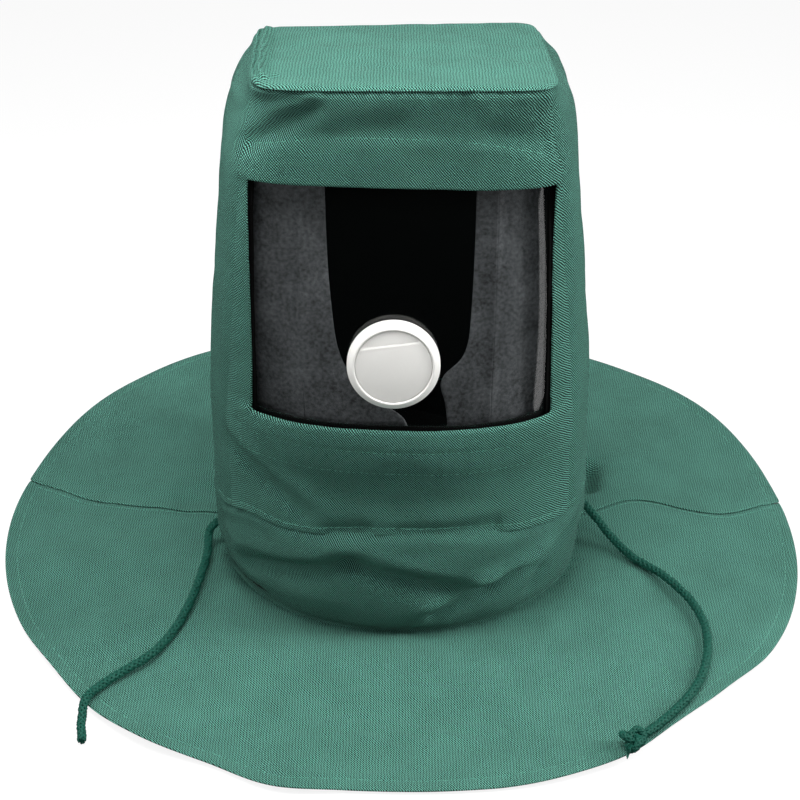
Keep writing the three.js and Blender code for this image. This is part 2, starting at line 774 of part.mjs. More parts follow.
// The valve: a rimmed body with a stem through the film, a cover in its rim and a nut behind the film
function makeValveBody() {
  const outer = valveDiameter / 2;
  const recess = outer - valveRim;
  const floor = valveHeight - valveCoverThickness - valveInset;
  return onValve(lathe([
    [valveBore / 2, -valveStemLength],
    [valveStem / 2, -valveStemLength],
    [valveStem / 2, 0],
    [outer - valveLip, 0],
    [outer, valveLip],
    [outer, valveHeight - valveChamfer],
    [outer - valveChamfer, valveHeight],
    [recess + valveLip, valveHeight],
    [recess, valveHeight - valveLip],
    [recess, floor],
    [valveBore / 2, floor],
  ]));
}
function makeValveCover() {
  const radius = valveDiameter / 2 - valveRim - clearance;
  const floor = valveHeight - valveCoverThickness - valveInset + clearance;
  const disc = new THREE.CylinderGeometry(radius, radius, valveCoverThickness, roundSides);
  disc.translate(0, floor + valveCoverThickness / 2, 0);
  const step = new THREE.BoxGeometry(2 * valveDiameter, 2 * valveCoverStep, valveDiameter);
  step.translate(0, floor + valveCoverThickness, -valveDiameter / 2 - radius * 0.45);
  return onValve(toGeometry(toSolid(disc).subtract(toSolid(step))));
}
function makeValveNut() {
  const outer = valveNutDiameter / 2;
  const inner = valveStem / 2 + clearance;
  const top = -filmThickness - 2 * clearance - valveInset;
  return onValve(lathe([
    [inner, top - valveNutThickness],
    [outer, top - valveNutThickness],
    [outer, top],
    [inner, top],
  ]));
}

// The seam between the neck band and the cape
function capeSeamPoint(angle) {
  const x = Math.cos(angle) / (capeSeamWidth / 2);
  const y = Math.sin(angle) / (capeSeamDepth / 2);
  const reach = 1 / Math.hypot(x, y);
  return new THREE.Vector3(reach * Math.cos(angle), reach * Math.sin(angle), capeSeamHeight);
}

// A point of the neck band's outer face, down from the upper to the lower seam
function bandPoint(angle, down) {
  const upper = wallPoint(angle, neckSeamAt(angle));
  upper.z -= clearance / 2;
  const lower = capeSeamPoint(angle);
  lower.z += 2 * clearance;
  const point = upper.clone().lerp(lower, down);
  const fade = Math.sqrt(Math.max(0, Math.sin(Math.PI * down)));
  const height = neckSeamAt(angle) - capeSeamHeight;
  const puff = between(bandProfile, 'down', 'puff', down) * mix(sidePuff, 1, Math.abs(Math.sin(angle)));
  const out = bandPuff * puff - fade * dent('band', angle, 1 - down, height);
  point.x += out * Math.cos(angle);
  point.y += out * Math.sin(angle);
  return point;
}
function bandFacing(angle, down) {
  const turn = 0.01;
  const step = 0.01;
  const across = bandPoint(angle + turn, down).sub(bandPoint(angle - turn, down));
  const upward = bandPoint(angle, Math.max(down - step, 0)).sub(bandPoint(angle, Math.min(down + step, 1)));
  return across.cross(upward).normalize();
}
const bandAngle = (i) => -Math.PI / 2 + fullTurn * i / bandColumns;
function isSlit(i, j) {
  const share = (angle) => ((angle + 90) / 360) * bandColumns;
  return cordSlits.some(({ angle, up }) => i === Math.floor(share(angle)) && j === Math.floor(up * bandRows));
}
function makeNeckBand() {
  return clothWall({
    columns: bandColumns,
    rows: bandRows,
    place: (i, j) => bandPoint(bandAngle(i), 1 - j / bandRows),
    facing: (i, j) => bandFacing(bandAngle(i), 1 - j / bandRows),
    wall: () => neckWall,
    closed: true,
    kept: (i, j) => !isSlit(i, j),
  });
}

// The strip inside the band that makes the drawcord's channel
function makeCordCasing() {
  const seated = neckWall + casingSeat;
  const rows = [1, 2, 5, 6];
  const depths = [seated, casingDepth, casingDepth, seated];
  const facing = (i, j) => bandFacing(bandAngle(i), 1 - rows[j] / bandRows);
  return clothWall({
    columns: bandColumns,
    rows: rows.length - 1,
    place: (i, j) => {
      const outer = bandPoint(bandAngle(i), 1 - rows[j] / bandRows);
      return outer.addScaledVector(facing(i, j), -depths[j]);
    },
    facing,
    wall: () => canvas,
    closed: true,
    rim: 'square',
  });
}

// The cape's hem at an angle, and its upper face on the way from the hem to the neck
const outlineRound = roundTable(capeOutline);
const hemShare = hemWidth / (capeReach - capeSeamWidth / 2);
function hemReach(angle) {
  return capeReach * between(outlineRound, 'angle', 'reach', toDegrees(angle));
}
function capeTop(angle, inward) {
  let ripple = -rippleQuiet;
  for (const wave of hemRipples) {
    const away = Math.abs(toDegrees(angle - wave.angle * degree)) / wave.spread;
    ripple += wave.lift * rippleHeight * Math.exp(-away * away);
  }
  const past = Math.max(0, inward - hemShare) / (1 - hemShare);
  const hem = hemThickness + Math.max(0, ripple) * (1 - inward) ** 2;
  const seam = (capeSeamHeight - hemThickness) * past ** 1.5;
  const shoulder = shoulderRise * Math.sin(Math.PI * past ** 2);
  const pressed = dent('cape', angle, inward, capeReach - capeSeamWidth / 2) * (1 - past ** 8);
  return hem + seam + shoulder - Math.min(pressed, shoulder + seam * 0.5);
}
function capePoint(angle, inward) {
  const neck = capeSeamPoint(angle);
  const reach = mix(hemReach(angle), Math.hypot(neck.x, neck.y) - neckWall, inward);
  return new THREE.Vector3(reach * Math.cos(angle), reach * Math.sin(angle), capeTop(angle, inward));
}
function capeShare(j) {
  return j < 2 ? j * hemShare : mix(hemShare, 1, (j - 1) / (capeRows - 1));
}
function makeCape(fromSeam, toSeam, turn) {
  const gap = clearance / capeSeamWidth * 2;
  const seamAt = (seam, inward) => between(seam, 'inward', 'angle', inward) * degree;
  return clothWall({
    columns: capeColumns,
    rows: capeRows,
    place: (i, j) => {
      const inward = capeShare(j);
      const start = seamAt(fromSeam, inward) - turn + gap;
      const end = seamAt(toSeam, inward) - gap;
      return capePoint(mix(start, end, i / capeColumns), inward);
    },
    wall: (i, j) => (j < 2 ? hemThickness : canvas),
    rim: 'upright',
  });
}

// The cape's height under a place, or the floor's past the hem
function capeUnder(x, y) {
  const angle = Math.atan2(y, x);
  const neck = capeSeamPoint(angle);
  const inner = Math.hypot(neck.x, neck.y) - neckWall;
  const inward = (hemReach(angle) - Math.hypot(x, y)) / (hemReach(angle) - inner);
  return inward < 0 ? 0 : capeTop(angle, Math.min(inward, 1));
}
function routePoint({ x, y, above }) {
  const round = [[0, 0], [1, 0], [-1, 0], [0, 1], [0, -1]];
  const under = round.map(([right, back]) => capeUnder(x + right * cordDiameter, y + back * cordDiameter));
  return new THREE.Vector3(x, y, Math.max(...under) + above + cordDiameter / 2);
}
function makeCord(route, steps) {
  const extrudePath = new THREE.CatmullRomCurve3(route.map(routePoint), false, 'centripetal');
  const corners = Array.from({ length: cordSides }, (_, k) => new THREE.Vector2(
    cordDiameter / 2 * Math.cos(fullTurn * k / cordSides),
    cordDiameter / 2 * Math.sin(fullTurn * k / cordSides),
  ));
  return new THREE.ExtrudeGeometry(new THREE.Shape(corners), { steps, extrudePath, bevelEnabled: false });
}

// The knot: two crossed turns of cord and a short tail, joined
function makeKnot() {
  const turn = knotWidth / 2 - cordDiameter / 2;
  const first = new THREE.TorusGeometry(turn * 0.7, cordDiameter / 2, 6, 12);
  const second = new THREE.TorusGeometry(turn * 0.6, cordDiameter / 2, 6, 12).rotateX(Math.PI / 2.4);
  const core = new THREE.SphereGeometry(turn * 0.8, 8, 6);
  const tail = new THREE.CylinderGeometry(cordDiameter * 0.55, cordDiameter * 0.4, knotWidth * 0.8, 8);
  tail.translate(0, -knotWidth * 0.45, 0);
  const joined = [first, second, tail].reduce((solid, part) => solid.add(toSolid(part)), toSolid(core));
  const knot = toGeometry(joined);
  knot.computeBoundingBox();
  const floor = routePoint(knotPlace).z - cordDiameter / 2;
  return knot.translate(knotPlace.x, knotPlace.y, floor - knot.boundingBox.min.z);
}

const hood = new THREE.Group();
hood.add(
  piece('crown_panel', makeCrownPanel(), clothMaterial()),
  piece('front_panel', makePanel(frontColumns, frontPlace, (i, j) => !inWindow(i, j)), clothMaterial()),
  piece('back_panel', makePanel(backColumns, backPlace), clothMaterial()),
  piece('lens', makeLens(), filmMaterial()),
  piece('lens_binding_left', makeBinding(-1), bindingMaterial()),
  piece('lens_binding_right', makeBinding(1), bindingMaterial()),
  piece('window_facing', makeFacing(), clothMaterial()),
  piece('liner_left', makeLinerSide(-1), linerMaterial()),
  piece('liner_center', makeLinerCenter(), linerMaterial()),
  piece('liner_right', makeLinerSide(1), linerMaterial()),
  piece('valve_body', makeValveBody(), plasticMaterial()),
  piece('valve_cover', makeValveCover(), plasticMaterial()),
  piece('valve_nut', makeValveNut(), plasticMaterial()),
  piece('neck_band', makeNeckBand(), clothMaterial()),
  piece('cord_casing', makeCordCasing(), clothMaterial()),
  piece('cape_front', makeCape(leftSeam, rightSeam, fullTurn), clothMaterial()),
  piece('cape_back', makeCape(rightSeam, leftSeam, 0), clothMaterial()),
  piece('drawcord_left', makeCord(leftCordRoute, leftCordSteps), cordMaterial()),
  piece('drawcord_right', makeCord(rightCordRoute, rightCordSteps), cordMaterial()),
  piece('cord_knot', makeKnot(), cordMaterial()),
);

// The origin lies under the middle of the cape
const cape = new THREE.Box3();
for (const name of ['cape_front', 'cape_back']) {
  cape.expandByObject(hood.getObjectByName(name));
}
hood.position.set(-(cape.min.x + cape.max.x) / 2, -(cape.min.y + cape.max.y) / 2, -cape.min.z);

export default hood;
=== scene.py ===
# Sandblasting hood: the cloth, film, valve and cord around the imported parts.
# Shapes are worked out in millimetres from the middle of the neck, and each piece is then put in the frame.

import math

import bmesh
import bpy
from bpy.props import FloatProperty, FloatVectorProperty, PointerProperty
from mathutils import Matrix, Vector, noise
from mathutils.geometry import interpolate_bezier


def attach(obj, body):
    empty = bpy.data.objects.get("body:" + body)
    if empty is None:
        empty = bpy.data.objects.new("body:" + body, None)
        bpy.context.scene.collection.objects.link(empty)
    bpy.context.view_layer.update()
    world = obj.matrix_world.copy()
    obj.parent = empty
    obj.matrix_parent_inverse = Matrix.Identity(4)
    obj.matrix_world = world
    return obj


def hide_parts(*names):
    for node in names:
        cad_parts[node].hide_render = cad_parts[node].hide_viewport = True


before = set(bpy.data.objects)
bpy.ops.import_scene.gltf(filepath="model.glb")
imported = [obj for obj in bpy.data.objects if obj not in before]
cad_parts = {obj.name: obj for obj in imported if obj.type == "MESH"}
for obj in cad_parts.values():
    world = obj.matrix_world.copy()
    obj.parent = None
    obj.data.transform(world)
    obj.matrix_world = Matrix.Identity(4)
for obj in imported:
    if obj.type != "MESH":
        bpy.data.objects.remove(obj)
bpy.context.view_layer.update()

bl_info = {
    "name": "Sandblasting hood",
    "version": (1, 0, 0),
    "blender": (4, 5, 0),
    "location": "3D View > Sidebar > Hood",
    "description": "Builds a canvas sandblasting hood with its window, valve, cape and drawcord",
    "category": "Add Mesh",
}

MM = 0.001
FULL_TURN = 2 * math.pi


def srgb(colour):
    """The parts of an sRGB hex colour, from 0 to 1."""
    return [int(colour[k:k + 2], 16) / 255 for k in (1, 3, 5)]


def table(columns, *rows):
    """A short table with named columns."""
    names = columns.split()
    return [dict(zip(names, row)) for row in rows]


# Sizes of the cloth, as in the frame
HOOD_HEIGHT = 405
HOOD_WIDTH = 265
HOOD_DEPTH = 248
CROWN_DROP = 28
CROWN_DOME = 5
CROWN_OVER = 1.4
CANVAS = 1.6
CLEARANCE = 0.3
SEAM_SHARE = 0.87
WINDOW_BOTTOM = 184
WINDOW_TOP = 343
WINDOW_WIDTH_LOW = 191
WINDOW_WIDTH_HIGH = 184
WINDOW_TILT = -0.028
WINDOW_EXTRA = 2.4
FILM_LAP = 9
FILM_SHARE = 0.5
FILM = 1.0
BINDING = 0.8
BINDING_SHOWN = 2.2
LINER = 1.2
LINER_DEPTH = 12
LINER_TOP = 367
LINER_BEND = 18
LINER_BOTTOM = 166
LINER_SEAM_LEFT = 64
LINER_SEAM_RIGHT = 61
LINER_SHARE = 0.85
FACE_OPENING_BOTTOM = 206
VALVE_DIAMETER = 60
VALVE_HEIGHT = 8.5
VALVE_RIM = 7
VALVE_LEVEL = 229.5
VALVE_SIDE = -4
VALVE_STEM = 32
NECK_SEAM = 104
NECK_SEAM_DIP = 26
NECK_SEAM_BEND = 1.6
NECK_SEAM_LIFT = {"angle": -138, "wide": 11, "high": 7}
NECK_WALL = 2
CAPE_SEAM = 12
CAPE_SEAM_WIDTH = 256
CAPE_SEAM_DEPTH = 226
BAND_PUFF = 9
SIDE_PUFF = 0.2
CAPE_REACH = 290
HEM_WIDTH = 9
HEM = 2.8
RIPPLE = 7
RIPPLE_QUIET = 1
SHOULDER = 8
CORD = 6.0

WALL_SECTIONS = table(
    "up wide front back left right rear",
    (0.0, 1.0, 1.03, 0.97, 2.35, 2.35, 2.5),
    (0.27, 0.974, 1.016, 0.94, 2.9, 2.7, 2.9),
    (0.53, 0.916, 0.94, 0.85, 4.2, 3.6, 3.6),
    (0.8, 0.84, 0.855, 0.75, 5.4, 4.6, 4.4),
    (0.9, 0.795, 0.84, 0.715, 3.9, 5.0, 5.0),
    (1.0, 0.742, 0.835, 0.685, 2.9, 5.2, 5.6),
)
BAND_PROFILE = table(
    "down puff",
    (0.0, 0.0), (0.12, 0.45), (0.28, 0.8), (0.45, 0.75), (0.62, 1.0), (0.8, 0.95), (0.93, 0.5), (1.0, 0.0),
)
CAPE_OUTLINE = table(
    "angle reach",
    (-170, 0.988), (-158, 0.965), (-148, 0.948), (-128, 0.944), (-117, 0.917), (-107, 0.932),
    (-97, 0.903), (-83, 0.905), (-68, 0.93), (-58, 0.938), (-47, 0.92), (-36, 0.94), (-27, 0.98),
    (-10, 1.0), (10, 1.022), (25, 1.052), (48, 1.1), (90, 1.11), (120, 1.148), (135, 1.125),
    (153, 1.064), (173, 1.022),
)
HEM_RIPPLES = table(
    "angle spread lift",
    (-150, 9, 0.55), (-128, 9, 1.0), (-106, 8, 0.5), (-62, 12, 0.55), (-24, 12, 0.7), (34, 14, 0.7),
    (98, 16, 0.8), (148, 14, 0.6),
)
RIGHT_SEAM = table(
    "inward angle",
    (0.0, 10.9), (0.31, 8.0), (0.44, 8.8), (0.64, 12.8), (0.75, 12.2), (0.87, 10.0), (1.0, 10.0),
)
LEFT_SEAM = table(
    "inward angle",
    (0.0, 163.4), (0.11, 164.4), (0.37, 167.5), (0.66, 169.7), (0.85, 169.6), (1.0, 168.0),
)

# Folds of the cloth. up runs from 0 at the cloth's lower edge to 1 at its upper edge, and on the cape from
# the hem to the neck. wide and deep are millimetres. lift is how much of the depth stands up as a ridge
# above the fold, and RIDGE_OFFSET is how far off that ridge runs, in widths of the fold.
RIDGE_OFFSET = 1.9
FOLDS = table(
    "on from_angle from_up to_angle to_up wide deep lift",
    ("wall", -133, 0.968, -121, 0.985, 4, 3.0, 0.0),
    ("wall", -135, 0.872, -117, 0.958, 6, 3.8, 0.4),
    ("wall", -117, 0.893, -90, 0.93, 8, 2.2, 0.2),
    ("wall", -60, 0.905, -48, 0.885, 7, 2.2, 0.3),
    ("wall", -69, 0.955, -70, 0.985, 5, 0.9, 0.8),
    ("wall", -141, 0.13, -119, 0.03, 8, 2.9, 0.6),
    ("wall", -110, -0.01, -101, 0.0, 7, 3.2, 0.3),
    ("wall", -90, -0.012, -62, 0.0, 7, 2.6, 0.3),
    ("band", -142, 0.42, -106, 0.71, 8, 6.5, 0.2),
    ("band", -106, 0.71, -70, 0.44, 8, 6.5, 0.2),
    ("band", -79, 0.22, -62, 0.42, 6, 5.5, 0.45),
    ("band", -62, 0.42, -47, 0.54, 6, 6.5, 0.45),
    ("band", -47, 0.54, -29, 0.74, 6, 6.5, 0.45),
    ("band", -46, 0.28, -42, 0.42, 5, 4.0, 0.2),
    ("band", -10, 0.35, 40, 0.6, 9, 5.9, 0.2),
    ("band", 60, 0.6, 120, 0.35, 9, 5.9, 0.2),
    ("band", 130, 0.3, 172, 0.62, 9, 5.9, 0.2),
    ("cape", 23, 0.83, 31, 0.76, 7, 13.0, 0.3),
    ("cape", 158, 0.86, 166, 0.78, 12, 3.9, 0.1),
    ("cape", -64, 0.99, -52, 0.85, 12, 4.5, 0.1),
)

# Routes of the cord's free ends: x and y on the surface, and how far its underside lies above the cape
LEFT_ROUTE = table(
    "x y above",
    (-125, -8, 14.4), (-131, -9, 14.3), (-138, -17, 10.5), (-138, -39, 6), (-141, -67, 4), (-147, -98, 2.5),
    (-156, -121, 1.4), (-168, -138, 0.8), (-185, -152, 0.6), (-200, -167, 0.8), (-207, -181, 1.5),
    (-208, -196, 1.0), (-205, -216, 0.3),
)
RIGHT_ROUTE = table(
    "x y above",
    (125, 9, 21.3), (131, 8, 21.3), (141, -3, 14.5), (154, -21, 5), (168, -41, 1.5), (184, -54, 0.8),
    (196, -68, 0.6), (206, -86, 0.6), (211, -108, 0.6), (210, -128, 0.6), (204, -151, 0.6),
    (194, -171, 0.6), (180, -190, 0.6), (167, -205, 0.6), (157, -215, 0.8),
)
KNOT_PLACE = {"x": 149, "y": -224, "above": 0.5}
KNOT_RISE = 4.2
KNOT_STEPS = 90
KNOT_SCALE = 0.8
FRAYED_HAIRS = 26


def mix(low, high, share):
    return low + (high - low) * share


def clamp(value, low=0.0, high=1.0):
    return max(low, min(high, value))


def smooth(share):
    share = clamp(share)
    return share * share * (3 - 2 * share)


def swell(away, wide, high):
    """The height of a soft ridge, or of a groove where high is negative, at a distance from its middle."""
    return high * math.exp(-(away / wide) ** 2)


def between(rows, key, column, at):
    """A smooth value between the rows of a table."""
    last = len(rows) - 1
    i = 0
    while i < last - 1 and at > rows[i + 1][key]:
        i += 1

    def slope(k):
        low = rows[max(k - 1, 0)]
        high = rows[min(k + 1, last)]
        return (high[column] - low[column]) / (high[key] - low[key])

    span = rows[i + 1][key] - rows[i][key]
    t = clamp((at - rows[i][key]) / span)
    leave = t * (1 - t) * (1 - t) * span * slope(i)
    arrive = t * t * (t - 1) * span * slope(i + 1)
    return mix(rows[i][column], rows[i + 1][column], t * t * (3 - 2 * t)) + leave + arrive


def packed(even, share):
    """An even share from -1 to 1, moved towards the ends, so that the cells there are finer."""
    return even * (1 + share - share * even * even)


def round_table(rows):
    """A table of angles with a row before the first and after the last, so that it goes all the way round."""
    before = {**rows[-1], "angle": rows[-1]["angle"] - 360}
    after = {**rows[0], "angle": rows[0]["angle"] + 360}
    return [before, *rows, after]


def to_degrees(angle):
    """An angle in degrees, from -180 to 180."""
    turned = math.degrees(angle)
    return turned - 360 * math.floor((turned + 180) / 360)


def folds(cloth, angle, up, height):
    """How far the folds move one cloth outward at a place, in millimetres."""
    arc = math.radians(HOOD_WIDTH / 2)
    moved = 0.0
    for fold in FOLDS:
        if fold["on"] != cloth:
            continue
        turned = fold["to_angle"] - fold["from_angle"]
        along = Vector((turned * arc, (fold["to_up"] - fold["from_up"]) * height))
        here = Vector(((to_degrees(angle) - fold["from_angle"]) * arc, (up - fold["from_up"]) * height))
        share = clamp(here.dot(along) / along.length_squared)
        away = here - along * share
        side = away.dot(Vector((-along.y, along.x)).normalized())
        side = side if along.x > 0 else -side
        near = away.length / fold["wide"]
        moved -= fold["deep"] * math.exp(-near * near)
        beside = math.hypot(away.length - abs(side), side - RIDGE_OFFSET * fold["wide"]) / fold["wide"]
        moved += fold["lift"] * fold["deep"] * math.exp(-beside * beside)
    return moved


def section_at(level):
    """The walls' outline at a height: how far they reach each way, and how square their corners are."""
    up = clamp((level - NECK_SEAM) / (HOOD_HEIGHT - NECK_SEAM))
    found = {column: between(WALL_SECTIONS, "up", column, up) for column in WALL_SECTIONS[0]}
    found["up"] = up
    found["side"] = HOOD_WIDTH / 2 * found["wide"]
    found["front"] *= HOOD_DEPTH / 2
    found["back"] *= HOOD_DEPTH / 2
    return found


def wall_reach(angle, section):
    """How far an outline lies from its middle at an angle."""
    x = math.cos(angle)
    y = math.sin(angle)
    front_corner = section["left"] if x < 0 else section["right"]
    corner = section["rear"] if y > 0 else front_corner
    depth = section["back"] if y > 0 else section["front"]
    return ((abs(x) / section["side"]) ** corner + (abs(y) / depth) ** corner) ** (-1 / corner)


def front_angle(x, section):
    """The angle at which the front of an outline is at x."""
    corner = section["left"] if x < 0 else section["right"]
    share = clamp(abs(x) / section["side"])
    return math.atan2(-section["front"] * (1 - share ** corner) ** (1 / corner), x)


def wall_point(angle, level, out=0.0, folded=True):
    """A point of the walls' outer face, moved outward by out."""
    section = section_at(level)
    reach = wall_reach(angle, section) + out
    if folded:
        reach += folds("wall", angle, section["up"], HOOD_HEIGHT - NECK_SEAM)
    y = reach * math.sin(angle)
    share = clamp((level - WINDOW_TOP) / (HOOD_HEIGHT - WINDOW_TOP))
    fall = share * CROWN_DROP * (y + section["front"]) / (section["back"] + section["front"])
    return Vector((reach * math.cos(angle), y, level - fall))


def wall_facing(angle, level):
    """The way out of the walls at a place."""
    across = wall_point(angle + 0.01, level, folded=False) - wall_point(angle - 0.01, level, folded=False)
    upward = wall_point(angle, level + 1, folded=False) - wall_point(angle, level - 1, folded=False)
    return across.cross(upward).normalized()


def neck_seam_at(angle):
    """The height of the seam between the walls and the neck band: highest in front."""
    forward = max(0.0, -math.sin(angle))
    to_lift = to_degrees(angle - math.radians(NECK_SEAM_LIFT["angle"]))
    lift = swell(to_lift, NECK_SEAM_LIFT["wide"], NECK_SEAM_LIFT["high"])
    return NECK_SEAM - NECK_SEAM_DIP * (1 - forward ** NECK_SEAM_BEND) + lift


def window_half(level):
    """Half the window's width at a height, carried on above and below it."""
    share = clamp((level - WINDOW_BOTTOM) / (WINDOW_TOP - WINDOW_BOTTOM))
    narrowing = section_at(level)["side"] / section_at(WINDOW_TOP)["side"] if level > WINDOW_TOP else 1.0
    return narrowing * mix(WINDOW_WIDTH_LOW, WINDOW_WIDTH_HIGH, share) / 2


def cape_seam_point(angle):
    reach = 1 / math.hypot(math.cos(angle) / (CAPE_SEAM_WIDTH / 2), math.sin(angle) / (CAPE_SEAM_DEPTH / 2))
    return Vector((reach * math.cos(angle), reach * math.sin(angle), CAPE_SEAM))


OUTLINE_ROUND = round_table(CAPE_OUTLINE)
HEM_SHARE = HEM_WIDTH / (CAPE_REACH - CAPE_SEAM_WIDTH / 2)


def hem_reach(angle):
    return CAPE_REACH * between(OUTLINE_ROUND, "angle", "reach", to_degrees(angle))


CAPE_ACROSS = CAPE_REACH - CAPE_SEAM_WIDTH / 2


def cape_top(angle, inward):
    """The height of the cape's upper face on the way from the hem to the neck."""
    ripple = -RIPPLE_QUIET
    for wave in HEM_RIPPLES:
        away = abs(to_degrees(angle - math.radians(wave["angle"]))) / wave["spread"]
        ripple += wave["lift"] * RIPPLE * math.exp(-away * away)
    past = clamp((inward - HEM_SHARE) / (1 - HEM_SHARE))
    hem = HEM + max(0.0, ripple) * (1 - inward) ** 2
    seam = (CAPE_SEAM - HEM) * past ** 1.5
    shoulder = SHOULDER * math.sin(math.pi * past ** 2)
    pressed = folds("cape", angle, inward, CAPE_ACROSS) * (1 - past ** 8)
    return hem + seam + shoulder + max(pressed, -shoulder - seam * 0.5)


def cape_inner(angle):
    neck = cape_seam_point(angle)
    return math.hypot(neck.x, neck.y) - NECK_WALL


def cape_point(angle, inward, out=0.0):
    reach = mix(hem_reach(angle), cape_inner(angle), inward)
    return Vector((reach * math.cos(angle), reach * math.sin(angle), cape_top(angle, inward) + out))


def cape_under(x, y):
    """The cape's height under a place, or the floor's past the hem."""
    angle = math.atan2(y, x)
    inward = (hem_reach(angle) - math.hypot(x, y)) / (hem_reach(angle) - cape_inner(angle))
    return 0.0 if inward < 0 else cape_top(angle, min(inward, 1.0))


def seam_angle(rows, inward):
    """The angle at which one of the cape's seams runs, on its way from the hem to the neck."""
    return math.radians(between(rows, "inward", "angle", inward))


def frame_shift():
    """How the frame's origin, under the middle of the cape, lies from the middle of the neck."""
    columns = 24
    right = seam_angle(RIGHT_SEAM, 0)
    left = seam_angle(LEFT_SEAM, 0)
    angles = [mix(left - FULL_TURN, right, i / columns) for i in range(columns + 1)]
    angles += [mix(right, left, i / columns) for i in range(columns + 1)]
    xs = [hem_reach(angle) * math.cos(angle) for angle in angles]
    ys = [hem_reach(angle) * math.sin(angle) for angle in angles]
    return Vector((-(min(xs) + max(xs)) / 2, -(min(ys) + max(ys)) / 2, 0))


SHIFT = frame_shift()


def in_frame(point):
    """A point in the shared frame, in metres."""
    return (Vector(point) + SHIFT) * MM


def crumple(place, size, depth, seed):
    """Soft unevenness of a cloth, with lumps of one size in millimetres."""
    return depth * noise.noise(Vector(place) / size + Vector((seed, 2.7 * seed, 0)))


def scattered(place):
    """Three random-looking parts that are the same in every run and change smoothly with the place."""
    return Vector([noise.noise(place + Vector((0, 0, 31.7 * k))) for k in range(3)])


def pucker(along, away, pitch, depth, reach=7.0):
    """The small gathers that a line of stitches pulls up beside itself."""
    wave = math.sin(FULL_TURN * along / pitch + 2.3 * noise.noise(Vector((along / 19, 4, 9))))
    return depth * wave * math.exp(-(away / reach) ** 2)


# Materials


def linear(colour):
    """An sRGB hex colour, or its parts from 0 to 1, as linear light."""
    parts = srgb(colour) if isinstance(colour, str) else colour
    return (*[c / 12.92 if c <= 0.04045 else ((c + 0.055) / 1.055) ** 2.4 for c in parts], 1.0)


def shade(colour, share):
    """A darker or lighter dye of a colour, as linear light."""
    return linear([min(1.0, c * share) for c in colour])


def add_node(tree, kind, values=(), out=0, **settings):
    """A node with its settings, whose sockets are linked from or set to values. Gives one of its outputs."""
    node = tree.nodes.new("ShaderNode" + kind)
    for name, value in settings.items():
        setattr(node, name, value)
    for key, value in values.items() if isinstance(values, dict) else enumerate(values):
        if isinstance(value, bpy.types.NodeSocket):
            tree.links.new(value, node.inputs[key])
        else:
            node.inputs[key].default_value = value
    return node.outputs[out] if node.outputs else node


def lumps(size):
    """The scale of a noise whose lumps are about that many millimetres wide."""
    return 1 / (size * MM)


def new_material(name):
    material = bpy.data.materials.new(name)
    material.use_nodes = True
    material.node_tree.nodes.clear()
    return material, material.node_tree


def threads(tree, distance, pitch):
    """Threads side by side: 0 between two of them and 1 on each, from a distance in metres."""
    turns = add_node(tree, "Math", (distance, FULL_TURN / pitch), operation="MULTIPLY")
    wave = add_node(tree, "Math", (turns,), operation="SINE")
    return add_node(tree, "Math", (wave, 0.5, 0.5), operation="MULTIPLY_ADD")


def canvas_material(name, sizes, colour, ribs):
    """Dyed polyester-cotton canvas in a steep twill: matt threads with painted shade in the gaps between them
    and painted light on their tops, and slightly uneven dye.

    The threads are drawn about three times coarser than real ones, so that they show in the render. ribs is
    how much its warp stands up as straight ribs, as it does where the cloth is seen at a low slant.
    """
    material, tree = new_material(name)
    place = add_node(tree, "UVMap", uv_map="cloth")
    wander = add_node(tree, "TexNoise", {"Vector": place, "Scale": lumps(7.7), "Detail": 3.0})
    uneven = add_node(tree, "Math", (wander, 2.4 * MM, -1.2 * MM), operation="MULTIPLY_ADD")
    along = add_node(tree, "SeparateXYZ", (place,), "Y")
    across = add_node(tree, "Math", (add_node(tree, "SeparateXYZ", (place,)), uneven), operation="ADD")
    rising = add_node(tree, "Math", (along, 0.9, across), operation="MULTIPLY_ADD")
    falling = add_node(tree, "Math", (along, -0.9, across), operation="MULTIPLY_ADD")
    twill = threads(tree, rising, sizes.twill_pitch)
    crossing = threads(tree, falling, sizes.weft_pitch)
    dots = add_node(tree, "Math", (crossing, 0.65, 0.35), operation="MULTIPLY_ADD")
    height = add_node(tree, "Math", (twill, dots), operation="MULTIPLY")
    warp = threads(tree, across, sizes.rib_pitch)
    height = add_node(tree, "Mix", {0: ribs, 2: height, 3: warp}, data_type="FLOAT")
    fuzz = add_node(tree, "TexNoise", {"Vector": place, "Scale": lumps(0.667), "Detail": 3.0})
    height = add_node(tree, "Math", (fuzz, 0.25, height), operation="MULTIPLY_ADD")
    patches = add_node(tree, "TexNoise", {"Vector": place, "Scale": lumps(29.4), "Detail": 4.0})
    # The weave's height paints the dye: painted shade in the gaps between threads, painted light on the
    # threads' tops.
    lit = add_node(tree, "Math", (height, 1.7, -0.52), operation="MULTIPLY_ADD")
    share = add_node(tree, "Math", (patches, 0.2, lit), operation="MULTIPLY_ADD")
    gap_shade = shade(colour, 0.14)
    thread = shade(colour, 2.15)
    dyed = add_node(tree, "Mix", {0: share, 6: gap_shade, 7: thread}, 2, data_type="RGBA")
    weave = add_node(tree, "Bump", {"Strength": 1.0, "Distance": sizes.weave_depth, "Height": height})
    shader = add_node(tree, "BsdfPrincipled", {
        "Base Color": dyed, "Roughness": 0.95, "Specular IOR Level": 0.12,
        "Sheen Weight": 0.02, "Sheen Roughness": 0.5, "Normal": weave,
    })
    add_node(tree, "OutputMaterial", (shader,))
    return material


